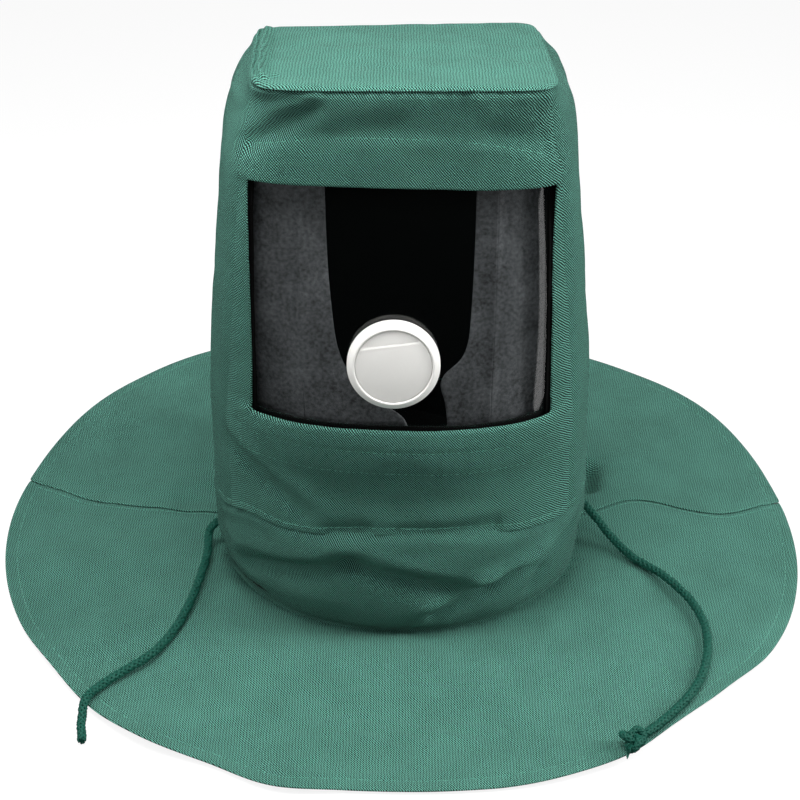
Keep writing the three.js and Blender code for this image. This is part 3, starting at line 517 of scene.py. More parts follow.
def coated_cloth_material():
    """The canvas's inner side, dipped in black rubber: dark, with the weave just showing through."""
    material, tree = new_material("rubber-coated canvas")
    place = add_node(tree, "TexCoord", out="Object")
    grain = add_node(tree, "TexNoise", {"Vector": place, "Scale": lumps(1.11), "Detail": 3.0})
    dyed = add_node(tree, "Mix", {0: grain, 6: linear("#0b0c0c"), 7: linear("#191b1a")}, 2, data_type="RGBA")
    relief = add_node(tree, "Bump", {"Strength": 0.4, "Distance": 0.2 * MM, "Height": grain})
    shader = add_node(tree, "BsdfPrincipled", {
        "Base Color": dyed, "Roughness": 0.85, "Specular IOR Level": 0.2, "Normal": relief,
    })
    add_node(tree, "OutputMaterial", (shader,))
    return material


def face_cloth_material(colour):
    """Vinyl-coated face cloth: charcoal, with a fine leathery grain and a satin sheen."""
    material, tree = new_material("vinyl face cloth")
    place = add_node(tree, "TexCoord", out="Object")
    grain = add_node(tree, "TexVoronoi", {"Vector": place, "Scale": lumps(1.11)})
    worn = add_node(tree, "TexNoise", {"Vector": place, "Scale": lumps(22.2), "Detail": 6.0})
    scuffs = add_node(tree, "TexNoise", {"Vector": place, "Scale": lumps(2.38), "Detail": 4.0})
    share = add_node(tree, "Math", (scuffs, 1.3, -0.55), operation="MULTIPLY_ADD")
    share = add_node(tree, "Math", (worn, 0.9, share), operation="MULTIPLY_ADD")
    scuffed = shade(colour, 1.7)
    dyed = add_node(tree, "Mix", {0: share, 6: shade(colour, 0.25), 7: scuffed}, 2, data_type="RGBA")
    rough = add_node(tree, "Math", (worn, 0.3, 0.38), operation="MULTIPLY_ADD")
    relief = add_node(tree, "Bump", {"Strength": 0.35, "Distance": 0.25 * MM, "Height": grain})
    shader = add_node(tree, "BsdfPrincipled", {"Base Color": dyed, "Roughness": rough, "Normal": relief})
    add_node(tree, "OutputMaterial", (shader,))
    return material


def binding_material():
    """Black polyester binding tape: flat ribs across a dull surface. Its near-black dye is also painted
    shadow, standing in for the dark gap between the cloth's edge and the film.
    """
    material, tree = new_material("polyester binding tape")
    place = add_node(tree, "TexCoord", out="Object")
    height = threads(tree, add_node(tree, "SeparateXYZ", (place,), "Z"), 1.2 * MM)
    # Near-black dye, partly painted shadow for the gap beside the film.
    rib = linear("#060606")
    dyed = add_node(tree, "Mix", {0: height, 6: linear("#020202"), 7: rib}, 2, data_type="RGBA")
    relief = add_node(tree, "Bump", {"Strength": 0.5, "Distance": 0.2 * MM, "Height": height})
    shader = add_node(tree, "BsdfPrincipled", {
        "Base Color": dyed, "Roughness": 0.9, "Specular IOR Level": 0.1, "Normal": relief,
    })
    add_node(tree, "OutputMaterial", (shader,))
    return material


def film_material(colour, cover):
    """Calendered PVC film: clear and glossy, with slow waves that show in its reflections."""
    material, tree = new_material("clear PVC film")
    place = add_node(tree, "TexCoord", out="Object")
    stretched = add_node(tree, "Mapping", {"Vector": place, "Scale": (lumps(55.6), lumps(55.6), lumps(286))})
    waves = add_node(tree, "TexNoise", {"Vector": stretched, "Scale": 1.0, "Detail": 2.0})
    relief = add_node(tree, "Bump", {"Strength": 0.6, "Distance": 1.2 * MM, "Height": waves})
    shader = add_node(tree, "BsdfPrincipled", {
        "Base Color": linear(colour), "Alpha": cover, "Roughness": 0.06, "IOR": 1.53,
        "Specular IOR Level": 1.0, "Coat Weight": 1.0, "Coat Roughness": 0.04, "Normal": relief,
    })
    add_node(tree, "OutputMaterial", (shader,))
    return material


def plastic_material(colour):
    """Injection-moulded white polypropylene: satin, a little warm, with slow flow marks."""
    material, tree = new_material("moulded polypropylene")
    place = add_node(tree, "TexCoord", out="Object")
    grain = add_node(tree, "TexNoise", {"Vector": place, "Scale": lumps(1.43), "Detail": 3.0})
    flow = add_node(tree, "TexNoise", {"Vector": place, "Scale": lumps(16.7), "Detail": 4.0})
    dyed = add_node(tree, "Mix", {0: flow, 6: shade(colour, 0.96), 7: linear(colour)}, 2, data_type="RGBA")
    height = add_node(tree, "Math", (grain, 0.4, 0.0), operation="MULTIPLY_ADD")
    height = add_node(tree, "Math", (flow, 1.5, height), operation="MULTIPLY_ADD")
    relief = add_node(tree, "Bump", {"Strength": 0.3, "Distance": 0.3 * MM, "Height": height})
    shader = add_node(tree, "BsdfPrincipled", {
        "Base Color": dyed, "Roughness": 0.42, "IOR": 1.49, "Normal": relief,
    })
    add_node(tree, "OutputMaterial", (shader,))
    return material


def yarn_material(name, colour, sheen):
    """Spun polyester yarn: soft, with a silky light along each strand. Its fibre speckle, partly the yarn's
    own uneven tone, is also painted shade and painted highlight: a dark and a light copy of the dye.
    """
    material, tree = new_material(name)
    place = add_node(tree, "TexCoord", out="Object")
    hairs = add_node(tree, "TexNoise", {"Vector": place, "Scale": lumps(0.556), "Detail": 3.0})
    # Painted shade and painted highlight: a dark and a light copy of the dye, mixed by the fibre noise.
    lit = shade(colour, 1.5)
    dyed = add_node(tree, "Mix", {0: hairs, 6: shade(colour, 0.2), 7: lit}, 2, data_type="RGBA")
    relief = add_node(tree, "Bump", {"Strength": 0.8, "Distance": 0.4 * MM, "Height": hairs})
    shader = add_node(tree, "BsdfPrincipled", {
        "Base Color": dyed, "Roughness": 0.6, "Specular IOR Level": 0.3, "Sheen Weight": sheen,
        "Normal": relief,
    })
    add_node(tree, "OutputMaterial", (shader,))
    return material


def floor_material(colour, glow):
    """Matt white backdrop paper, lit from behind as well, as a catalogue's table is."""
    material, tree = new_material("backdrop paper")
    place = add_node(tree, "TexCoord", out="Object")
    grain = add_node(tree, "TexNoise", {"Vector": place, "Scale": lumps(1.11), "Detail": 2.0})
    dyed = add_node(tree, "Mix", {0: grain, 6: shade(colour, 0.98), 7: linear(colour)}, 2, data_type="RGBA")
    shader = add_node(tree, "BsdfPrincipled", {
        "Base Color": dyed, "Roughness": 0.95, "Specular IOR Level": 0.1,
        "Emission Color": linear("#ffffff"), "Emission Strength": glow,
    })
    add_node(tree, "OutputMaterial", (shader,))
    return material


def made(name, make, *values):
    """A material that is made once and used by every piece that names it."""
    return bpy.data.materials.get(name) or make(*values)


def canvas(name="twill canvas", ribs=0.0):
    sizes = bpy.context.scene.hood_cloth
    return made(name, canvas_material, name, sizes, sizes.canvas_colour, ribs)


def ribbed_canvas():
    return canvas("twill canvas with ribs", 0.19)


def coated_canvas():
    return made("rubber-coated canvas", coated_cloth_material)


def face_cloth():
    return made("vinyl face cloth", face_cloth_material, bpy.context.scene.hood_window.face_cloth_colour)


def binding_tape():
    return made("polyester binding tape", binding_material)


def clear_film():
    window = bpy.context.scene.hood_window
    return made("clear PVC film", film_material, window.film_colour, window.film_cover)


def sewing_thread():
    name = "polyester sewing thread"
    return made(name, yarn_material, name, bpy.context.scene.hood_cloth.thread_colour, 0.1)


def braided_yarn():
    name = "braided polyester yarn"
    return made(name, yarn_material, name, bpy.context.scene.hood_cord.cord_colour, 0.0)


def moulded_plastic():
    return made("moulded polypropylene", plastic_material, bpy.context.scene.hood_window.valve_colour)


# Making a piece


def add_object(name, bm, materials, replaced=()):
    """The piece that a bmesh holds, riding on the hood and standing for the CAD nodes that it replaces."""
    if not bm.faces:
        raise RuntimeError(name + " has no faces")
    mesh = bpy.data.meshes.new(name)
    for face in bm.faces:
        face.smooth = True
    bm.to_mesh(mesh)
    bm.free()
    for material in materials:
        mesh.materials.append(material)
    piece = bpy.data.objects.new(name, mesh)
    bpy.context.scene.collection.objects.link(piece)
    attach(piece, "root")
    if replaced:
        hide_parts(*replaced)
    return piece


def thicken(piece, thickness, inner=False):
    """A cloth's wall, set in from its outer face, and its rounded edges."""
    wall = piece.modifiers.new("wall", "SOLIDIFY")
    wall.thickness = thickness * MM
    wall.offset = -1
    wall.use_even_offset = False
    wall.material_offset = 1 if inner else 0
    rounded = piece.modifiers.new("rounded", "SUBSURF")
    rounded.levels = 1
    rounded.render_levels = 1


def cloth_grid(columns, rows, place, cloth, closed=False, kept=None):
    """A grid of cloth. place gives the point of a column and row, cloth its place on the flat cloth in
    millimetres, and kept says which cells exist. closed joins the last column to the first."""
    bm = bmesh.new()
    bmesh.ops.create_grid(bm, x_segments=columns, y_segments=rows, size=1)

    def spot(vert):
        return round((vert.co.x + 1) / 2 * columns), round((vert.co.y + 1) / 2 * rows)

    if kept:
        gone = []
        for face in bm.faces:
            corners = [spot(vert) for vert in face.verts]
            if not kept(min(i for i, _ in corners), min(j for _, j in corners)):
                gone.append(face)
        bmesh.ops.delete(bm, geom=gone, context="FACES")
    layer = bm.loops.layers.uv.new("cloth")
    flat = {}
    for vert in bm.verts:
        i, j = spot(vert)
        flat[vert] = Vector(cloth(i, j)) * MM
        vert.co = in_frame(place(i, j))
    for face in bm.faces:
        for loop in face.loops:
            loop[layer].uv = flat[loop.vert]
    if closed:
        bmesh.ops.remove_doubles(bm, verts=bm.verts, dist=0.01 * MM)
    return bm


def spread(*stops):
    """Values from one stop to the next: each stop but the last is a value and how many steps follow it."""
    values = []
    for (start, steps), (end, _) in zip(stops, stops[1:]):
        values += [mix(start, end, k / steps) for k in range(steps)]
    return values + [stops[-1][0]]


# The walls

LEFT_CELLS = 12
WINDOW_CELLS = 84
ROWS_BELOW = 42
ROWS_BESIDE = 44
ROWS_ABOVE = 28
WALL_ROWS = ROWS_BELOW + ROWS_BESIDE + ROWS_ABOVE
FRONT_CELLS = 2 * LEFT_CELLS + WINDOW_CELLS
BACK_CELLS = 84
STITCH_ABOVE = 31
STITCH_BOW = 12
STITCH_BOW_HALF = 92
STITCH_BELOW = 16
STITCH_UNDER = 33
NECK_STITCH = 3.2
SEAM_LAP = 2.5
SIDE_LAP = 1.6
BACK_CELL = 6.4
BACK_SAG = {"middle": 3.2, "slant": 60, "starts": -30, "length": 110}
RIM_BLEND = 22
RIM_ABOVE_WALL = 0.7


def front_x(i, level):
    """How far to the right a column of the front wall lies."""
    left = window_half(level)
    right = left + WINDOW_EXTRA
    seam = SEAM_SHARE * section_at(level)["side"]
    from_edge = min(i, FRONT_CELLS - i)
    if from_edge >= LEFT_CELLS:
        return mix(-left, right, (i - LEFT_CELLS) / WINDOW_CELLS)
    if i < FRONT_CELLS / 2:
        return mix(-seam, -left, from_edge / LEFT_CELLS)
    return mix(seam, right, from_edge / LEFT_CELLS)


def front_lean(i, level):
    return WINDOW_TILT * front_x(i, level) * min(1.0, min(i, FRONT_CELLS - i) / LEFT_CELLS)


def row_level(j, angle, lean):
    """The height of a row of the walls. Some rows follow the window's slightly slanted edges."""
    if j <= ROWS_BELOW:
        return mix(neck_seam_at(angle) - SEAM_LAP, WINDOW_BOTTOM + lean, j / ROWS_BELOW)
    if j <= ROWS_BELOW + ROWS_BESIDE:
        return mix(WINDOW_BOTTOM, WINDOW_TOP, (j - ROWS_BELOW) / ROWS_BESIDE) + lean
    share = (j - ROWS_BELOW - ROWS_BESIDE) / ROWS_ABOVE
    return mix(WINDOW_TOP, HOOD_HEIGHT, share) + lean * (1 - share)


def front_spot(i, j):
    near = row_level(j, -math.pi / 2, 0)
    rough = front_angle(front_x(i, near), section_at(near))
    level = row_level(j, rough, front_lean(i, near))
    seam = SEAM_SHARE * section_at(level)["side"]
    x = clamp(front_x(i, level), -seam, seam)
    return front_angle(x, section_at(level)), level, x


def stitch_above(x):
    """How far above the window the stitches run: highest in the middle."""
    return STITCH_ABOVE - STITCH_BOW * (abs(x) / STITCH_BOW_HALF) ** 3


def wall_relief(angle, level, x, front):
    """How far seams, hems, puckers and soft wrinkles move the wall outward."""
    arc = x if front else HOOD_WIDTH / 2 * angle
    above_seam = level - neck_seam_at(angle)
    top = HOOD_HEIGHT - level
    out = crumple((arc, level, 0), size=55, depth=1.6, seed=3.1)
    out += crumple((arc, 1.4 * level, 0), size=21, depth=0.6, seed=8.3)
    out += pucker(arc, above_seam - 3, pitch=8.5, depth=0.45)
    out += pucker(arc, top - 4, pitch=10, depth=0.4)
    out += swell(above_seam - 3.4, wide=1.3, high=-0.5) + swell(above_seam + 0.4, wide=1.3, high=0.7)
    out += 3.4 * smooth(top / 4.5) - 1.4 - 2.0 * smooth((top - 5) / 24)
    out += math.cos(angle) ** 4 * swell(top - 36, wide=26, high=3.4)
    if front:
        out += window_relief(arc, level, WINDOW_TILT * x)
    return out


def window_relief(x, level, lean):
    """The hems above and below the window, turned in and stitched down, and the welts at the side seams."""
    over = level - WINDOW_TOP - lean
    under = WINDOW_BOTTOM + lean - level
    past = over - stitch_above(x)
    to_seam = SEAM_SHARE * section_at(level)["side"] - abs(x)
    out = 0.0
    if over > 0:
        out += 1.5 * smooth(1 - past / 3) + swell(past, wide=1.2, high=-1.1)
        out += pucker(x, past, pitch=8, depth=0.35)
    if under > 0:
        middle = smooth(to_seam / 20)
        out += middle * (1.4 + 0.7 * smooth(under / 14)) * (1 - smooth((under - 8) / 46))
        out += middle * swell(under - 56, wide=22, high=-2.8)
        out += 0.8 * smooth(1 - (under - STITCH_UNDER) / 4)
        for line in (STITCH_BELOW, STITCH_UNDER):
            out += pucker(x, under - line, pitch=8.5, depth=0.3) + swell(under - line, wide=1.2, high=-0.55)
    if abs(x) > window_half(level):
        out += swell(to_seam - 4, wide=2.6, high=0.3)
    return out


def back_drop(x, y):
    """How much the cloth sags at the back of the crown, most of all at the left."""
    deep = BACK_SAG["middle"] - x / BACK_SAG["slant"]
    return deep * smooth((y - BACK_SAG["starts"]) / BACK_SAG["length"])


def drawn_to_crown(point, angle, level):
    """The top of the walls takes the squarer outline of the crown's edge."""
    share = smooth(1 - (HOOD_HEIGHT - level) / RIM_BLEND)
    reach = wall_reach(angle, section_at(level)) + RIM_ABOVE_WALL
    rim = crown_rim(angle)
    return point + Vector((rim.x - reach * math.cos(angle), rim.y - reach * math.sin(angle), 0)) * share


def front_cloth_point(i, j):
    angle, level, x = front_spot(i, j)
    point = wall_point(angle, level) + wall_facing(angle, level) * wall_relief(angle, level, x, True)
    return drawn_to_crown(point, angle, level)


def front_window(i, j):
    """Whether a cell of the front wall is cloth and not window."""
    inside = LEFT_CELLS <= i < LEFT_CELLS + WINDOW_CELLS and ROWS_BELOW <= j < ROWS_BELOW + ROWS_BESIDE
    return not inside


def seam_place(side, level):
    """The angle of an upright side seam."""
    section = section_at(level)
    return front_angle(side * SEAM_SHARE * section["side"], section)


def back_spot(i, j):
    near = row_level(j, -math.pi / 4, 0)
    rough = mix(seam_place(1, near), seam_place(-1, near) + FULL_TURN, i / BACK_CELLS)
    level = row_level(j, rough, 0)
    lap = SIDE_LAP / (HOOD_WIDTH / 2)
    right = seam_place(1, level) - lap
    left = seam_place(-1, level) + FULL_TURN + lap
    return mix(right, left, i / BACK_CELLS), level


def back_cloth_point(i, j):
    angle, level = back_spot(i, j)
    edge = min(i, BACK_CELLS - i) * BACK_CELL
    out = wall_relief(angle, level, 0.0, False) - (CANVAS + 0.1) * math.exp(-(edge / 5) ** 4)
    out += 1.1 * math.sin(angle * 3 + level / 60) * max(0.0, math.sin(angle))
    point = wall_point(angle, level) + wall_facing(angle, level) * out
    point.z -= back_drop(point.x, point.y) * smooth((level - WINDOW_TOP) / (HOOD_HEIGHT - WINDOW_TOP))
    return drawn_to_crown(point, angle, level)


# The crown

CROWN_CELLS = 96
CROWN_SLOPE = 2.4
CROWN_CORNERS = {"left": 7.0, "right": 10.0, "rear": 15.0}
CROWN_HALF = 93.5
CROWN_FLARE = {"left": 0.038, "right": -0.018}
CROWN_EDGE_OVER = 0.5
CROWN_CREASES = table(
    "from_x from_y to_x to_y wide deep",
    (0.05, -0.75, 0.3, -0.55, 9, 1.2),
    (0.3, -0.2, 0.85, -0.35, 10, 1.8),
    (0.55, 0.15, 0.9, 0.05, 8, 1.5),
    (-0.1, 0.3, 0.25, 0.1, 12, 1.2),
    (-0.9, -0.35, -0.6, -0.2, 8, 1.6),
    (-0.85, 0.3, -0.75, 0.0, 7, 1.8),
)
CROWN_LEFT_RIDGES = table(
    "from_edge wide high",
    (1.8, 1.2, 2.0), (6.2, 1.5, 3.4), (3.8, 0.9, -2.6), (10.0, 2.4, -2.4),
)


def crown_edge(angle):
    """How far the crown's edge lies from its middle: a panel with squarer corners than the walls below it."""
    return wall_reach(angle, {**section_at(HOOD_HEIGHT), **CROWN_CORNERS, "side": CROWN_HALF})


def flared(x, y):
    """A place on the crown, whose sides run a little askew."""
    section = section_at(HOOD_HEIGHT)
    depth = section["back"] if y > 0 else section["front"]
    return Vector((x * (1 + CROWN_FLARE["left" if x < 0 else "right"] * y / depth), y))


def crown_rim(angle):
    edge = crown_edge(angle)
    return flared(edge * math.cos(angle), edge * math.sin(angle))


def crown_share(i):
    """Where a column or row of the crown lies, from -1 to 1, with finer cells towards both edges."""
    return packed(2 * i / CROWN_CELLS - 1, 0.35)


def crown_point(i, j):
    across = crown_share(i)
    back = crown_share(j)
    section = section_at(HOOD_HEIGHT)
    depth = section["back"] if back > 0 else section["front"]
    aim = Vector((across * CROWN_HALF, back * depth))
    if aim.length < 1e-6:
        aim = Vector((1e-6, 0))
    share = max(abs(across), abs(back))
    edge = crown_edge(math.atan2(aim.y, aim.x)) + CROWN_EDGE_OVER
    flat = flared(*(aim.normalized() * edge * share))
    slope = clamp((flat.y + section["front"]) / (section["back"] + section["front"]), -0.1, 1.1)
    from_lip = edge * (1 - share)
    height = HOOD_HEIGHT - CROWN_DROP * slope - back_drop(flat.x, flat.y)
    height += CROWN_OVER + CROWN_DOME * (1 - share ** 2)
    height -= CROWN_SLOPE * max(0.0, 1 - from_lip / 3.5) ** 2
    height += swell(from_lip - 7, wide=3.5, high=0.5)
    height += (1 - share ** 4) * crumple((flat.x, flat.y, 0), size=34, depth=3.4, seed=5.7)
    height += (1 - share ** 6) * crumple((flat.x * 1.5, flat.y, 0), size=16, depth=1.1, seed=1.3)
    for crease in CROWN_CREASES:
        start = Vector((crease["from_x"], crease["from_y"])) * CROWN_HALF
        along = Vector((crease["to_x"], crease["to_y"])) * CROWN_HALF - start
        t = clamp((flat - start).dot(along) / along.length_squared)
        height -= swell((flat - start - along * t).length, crease["wide"], crease["deep"])
    if flat.x < 0:
        from_left = (1 - abs(across)) * CROWN_HALF
        inside = smooth((1 - abs(back)) * 5)
        for ridge in CROWN_LEFT_RIDGES:
            height += inside * swell(from_left - ridge["from_edge"], ridge["wide"], ridge["high"])
    return Vector((flat.x, flat.y, height))


# The window


def behind_front(x, level, depth):
    angle = front_angle(x, section_at(level))
    return wall_point(angle, level, folded=False) - wall_facing(angle, level) * depth


def behind_sheet(columns_at, levels, depth, kept=None):
    """A sheet behind the front wall. Each column is a function of the level, and depth one of x and level."""
    def cloth(i, j):
        return columns_at[i](levels[j]), levels[j]

    def place(i, j):
        x, level = cloth(i, j)
        return behind_front(x, level + WINDOW_TILT * x, depth(x, level))

    return cloth_grid(len(columns_at) - 1, len(levels) - 1, place, cloth, kept=kept)


def strip_columns(side, outer, inner, cells):
    """The columns of an upright strip beside the window. outer and inner give its edges at a level."""
    start, end = (outer, inner) if side < 0 else (inner, outer)
    return [lambda level, t=t: side * mix(start(level), end(level), t / cells) for t in range(cells + 1)]


BINDING_DEPTH = CANVAS + CLEARANCE
FILM_DEPTH = BINDING_DEPTH + BINDING + CLEARANCE
FILM_CELLS = 64
LINER_LIPS = table(
    "level left right",
    (160, 6, 33), (186, 3, 31), (199, -15, 29), (210, -26, 26), (218, -33, 29), (226, -37, 38),
    (236, -40, 43), (250, -42, 45), (290, -45, 46.5), (345, -46, 47), (380, -46, 47),
)
LINER_LEVELS = spread((LINER_BOTTOM, 12), (FACE_OPENING_BOTTOM, 12), (250, 30), (352, 8), (LINER_TOP, 0))
LINER_SIDE_CELLS = 12
LIP_CELLS = (10, 8, 8)
LIP_BOTTOM = 178


def film_edge(level):
    return mix(window_half(level), SEAM_SHARE * section_at(level)["side"], FILM_SHARE)


def film_levels():
    return spread((WINDOW_BOTTOM - FILM_LAP, 48), (WINDOW_TOP + FILM_LAP, 0))


def valve_axis():
    seat = behind_front(VALVE_SIDE, VALVE_LEVEL, FILM_DEPTH - CLEARANCE)
    return seat, (behind_front(VALVE_SIDE, VALVE_LEVEL, 0) - seat).normalized()


def make_film():
    levels = film_levels()
    columns = [lambda level, i=i: mix(-film_edge(level), film_edge(level), i / FILM_CELLS)
               for i in range(FILM_CELLS + 1)]

    def depth(x, level):
        return FILM_DEPTH + crumple((x, level * 0.6, 0), size=48, depth=0.5, seed=6.1)

    def kept(i, j):
        x = columns[i](levels[j]) + 1 - VALVE_SIDE
        return math.hypot(x, levels[j] + 1.5 - VALVE_LEVEL) > VALVE_STEM / 2 + 2

    bm = behind_sheet(columns, levels, depth, kept)
    thicken(add_object("window_film", bm, [clear_film()], ["lens"]), FILM)


def make_binding(name, node, side):
    def inner(level):
        wide = WINDOW_EXTRA if side > 0 else 0
        uneven = 0.5 * noise.noise(Vector((level / 17, side, 0)))
        return window_half(level) + wide - BINDING_SHOWN - uneven

    columns = strip_columns(side, film_edge, inner, 6)
    bm = behind_sheet(columns, film_levels(), lambda x, level: BINDING_DEPTH)
    thicken(add_object(name, bm, [binding_tape()], [node]), BINDING)


def liner_depth(x, level):
    """How deep the face cloth hangs. Its seams stand up as narrow welts, and its upper part has folds."""
    depth = mix(CANVAS + 3 * CLEARANCE, LINER_DEPTH, smooth((LINER_TOP - level) / LINER_BEND))
    for seam in (-LINER_SEAM_LEFT, LINER_SEAM_RIGHT):
        depth -= swell(x - seam, wide=1.9, high=1.9)
    depth -= 1.4 * math.sin(x / 13 + level / 90) * smooth((level - 230) / 60)
    return depth + crumple((x, level * 0.5, 0), size=26, depth=1.6, seed=4.4)


def liner_piece(name, node, columns, kept=None):
    bm = behind_sheet(columns, LINER_LEVELS, liner_depth, kept)
    thicken(add_object(name, bm, [face_cloth()], [node]), LINER)


def liner_edge(level):
    return mix(window_half(level), SEAM_SHARE * section_at(level)["side"], LINER_SHARE)


def lip(side):
    return lambda level: between(LINER_LIPS, "level", side, level)


def make_liner():
    left = strip_columns(-1, liner_edge, lambda level: LINER_SEAM_LEFT + CLEARANCE, LINER_SIDE_CELLS)
    right = strip_columns(1, liner_edge, lambda level: LINER_SEAM_RIGHT + CLEARANCE, LINER_SIDE_CELLS)
    liner_piece("face_cloth_left", "liner_left", left)
    liner_piece("face_cloth_right", "liner_right", right)
    edges = (lambda level: -LINER_SEAM_LEFT, lip("left"), lip("right"), lambda level: LINER_SEAM_RIGHT)
    columns = []
    for start, end, cells in zip(edges, edges[1:], LIP_CELLS):
        columns += [lambda level, start=start, end=end, share=t / cells: mix(start(level), end(level), share)
                    for t in range(cells)]
    columns.append(edges[-1])
    opening = range(LIP_CELLS[0], LIP_CELLS[0] + LIP_CELLS[1])

    def kept(i, j):
        return not (i in opening and LIP_BOTTOM < LINER_LEVELS[j] < WINDOW_TOP + FILM_LAP)

    liner_piece("face_cloth_center", "liner_center", columns, kept)


# The valve

VALVE_SIDES = 96
VALVE_BORE = 24
VALVE_INSIDE = 7.5
VALVE_UNDERSIZE = 0.7
RECESS_WIDER = 2.0
RECESS_DEPTH = 3.6
FLAP = 2.6
FLAP_SLANT = 0.137
FLAP_CREASE = (15.2, 14.4)
FLAP_SUNK = 0.4


def valve_lathe(profile, rounding):
    """A shape turned about the valve's axis, with rounded corners."""
    bm = bmesh.new()
    verts = [bm.verts.new((radius, 0, height)) for radius, height in profile]
    edges = [bm.edges.new((a, b)) for a, b in zip(verts, verts[1:] + verts[:1])]
    bmesh.ops.spin(bm, geom=verts + edges, cent=(0, 0, 0), axis=(0, 0, 1), angle=FULL_TURN,
                   steps=VALVE_SIDES, use_merge=True)
    bmesh.ops.remove_doubles(bm, verts=bm.verts, dist=0.01)
    bmesh.ops.recalc_face_normals(bm, faces=bm.faces)
    sharp = [e for e in bm.edges if len(e.link_faces) == 2 and e.calc_face_angle() > math.radians(30)]
    bmesh.ops.bevel(bm, geom=sharp, offset=rounding, segments=3, profile=0.5, affect="EDGES", material=-1)
    return bm


def stand_on_film(bm):
    seat, axis = valve_axis()
    across = Vector((0, 0, 1)).cross(axis).normalized()
    rise = axis.cross(across)
    for vert in bm.verts:
        vert.co = in_frame(seat + across * vert.co.x + rise * vert.co.y + axis * vert.co.z)
    bmesh.ops.recalc_face_normals(bm, faces=bm.faces)
    return bm


def make_valve():
    outer = VALVE_DIAMETER / 2 - VALVE_UNDERSIZE
    recess = outer - VALVE_RIM + RECESS_WIDER
    top = VALVE_HEIGHT
    floor = top - RECESS_DEPTH
    bore = VALVE_BORE / 2
    stem = VALVE_STEM / 2
    body = valve_lathe([
        (bore, -VALVE_INSIDE), (stem, -VALVE_INSIDE), (stem, 0), (outer - 1.2, 0), (outer, 1.2),
        (outer, top - 3.0), (outer - 1.0, top - 2.0), (outer - 2.6, top - 0.9), (outer - 3.4, top - 0.2),
        (outer - 4.0, top), (recess + 0.6, top), (recess, top - 0.6), (recess, floor), (bore, floor),
    ], 0.28)
    add_object("valve_ring", stand_on_film(body), [moulded_plastic()], ["valve_body"])
    cover = bmesh.new()
    bmesh.ops.create_circle(cover, cap_ends=True, cap_tris=False, segments=VALVE_SIDES,
                            radius=recess - CLEARANCE)
    raised = bmesh.ops.extrude_face_region(cover, geom=list(cover.faces))["geom"]
    raised = [part for part in raised if isinstance(part, bmesh.types.BMVert)]
    bmesh.ops.translate(cover, verts=raised, vec=(0, 0, FLAP))
    bmesh.ops.recalc_face_normals(cover, faces=cover.faces)
    for up in FLAP_CREASE:
        whole = cover.verts[:] + cover.edges[:] + cover.faces[:]
        bmesh.ops.bisect_plane(cover, geom=whole, plane_co=(0, up, 0),
                               plane_no=Vector((-FLAP_SLANT, 1, 0)).normalized())
    for vert in cover.verts:
        if vert.co.z > FLAP / 2 and vert.co.y - FLAP_SLANT * vert.co.x > sum(FLAP_CREASE) / 2:
            vert.co.z -= FLAP_SUNK
    rims = [e for e in cover.edges if len(e.link_faces) == 2 and e.calc_face_angle() > math.radians(50)]
    bmesh.ops.bevel(cover, geom=rims, offset=0.35, segments=3, profile=0.5, affect="EDGES", material=-1)
    bmesh.ops.translate(cover, verts=cover.verts, vec=(0, 0, floor + CLEARANCE))
    add_object("valve_flap", stand_on_film(cover), [moulded_plastic()], ["valve_cover"])


# The neck band

BAND_CELLS = 208
BAND_ROWS = 44
BAND_CLOTH = 92
BAND_FOLDS = 1.25
CORD_SLITS = table("angle up", (183.75, 0.28), (3.75, 0.39))
SLIT_COLUMNS = 2.4
SLIT_SHARE = 0.045


def band_point(angle, down):
    """A point of the band's outer face. down runs from its upper seam to its lower one."""
    upper = wall_point(angle, neck_seam_at(angle), folded=False)
    upper.z -= CLEARANCE / 2
    lower = cape_seam_point(angle)
    lower.z -= 2 * CLEARANCE
    point = upper.lerp(lower, down)
    fade = math.sqrt(max(0.0, math.sin(math.pi * down)))
    height = neck_seam_at(angle) - CAPE_SEAM
    below_wall = down * height
    above_cape = (1 - down) * height
    arc = HOOD_WIDTH / 2 * angle
    around = (math.cos(angle) * 130, math.sin(angle) * 130)
    puff = between(BAND_PROFILE, "down", "puff", down) * mix(SIDE_PUFF, 1, math.sin(angle) ** 2)
    out = BAND_PUFF * puff + BAND_FOLDS * fade * folds("band", angle, 1 - down, height)
    out += fade * crumple((*around, below_wall * 1.3), size=34, depth=2.4, seed=7.7)
    out += fade * crumple((*around, below_wall * 1.8), size=14, depth=0.8, seed=2.2)
    out += pucker(arc, below_wall, pitch=9, depth=0.9, reach=9)
    out += pucker(arc + 3, above_cape, pitch=10, depth=0.9, reach=9)
    out += swell(below_wall, wide=4.5, high=-2.3)
    out += swell(above_cape, wide=1.8, high=1.9) + swell(above_cape - 4.5, wide=2.4, high=-1.2)
    to_left = to_degrees(angle - math.radians(-140))
    out -= swell(to_left, wide=30, high=1.8) * swell(down - 0.86, wide=0.12, high=1)
    for slit in CORD_SLITS:
        across = HOOD_WIDTH / 2 * math.radians(to_degrees(angle - math.radians(slit["angle"])))
        out += swell(math.hypot(across, (1 - down - slit["up"] - 0.05) * height), wide=9, high=-1.6)
    return Vector((point.x + out * math.cos(angle), point.y + out * math.sin(angle), point.z))


def band_angle(i):
    return math.pi / 2 + FULL_TURN * (i % BAND_CELLS) / BAND_CELLS


def band_share(j):
    """How far up the band a row lies, with finer cells towards both seams."""
    return (packed(2 * j / BAND_ROWS - 1, 0.25) + 1) / 2


def is_slit(i, j):
    """Whether a cell of the band is cut out where the cord leaves its channel."""
    for slit in CORD_SLITS:
        column = ((slit["angle"] + 270 + 1.2) % 360) / 360 * BAND_CELLS
        if abs(i - column) < SLIT_COLUMNS and abs(band_share(j + 0.5) - slit["up"] - 0.06) < SLIT_SHARE:
            return True
    return False


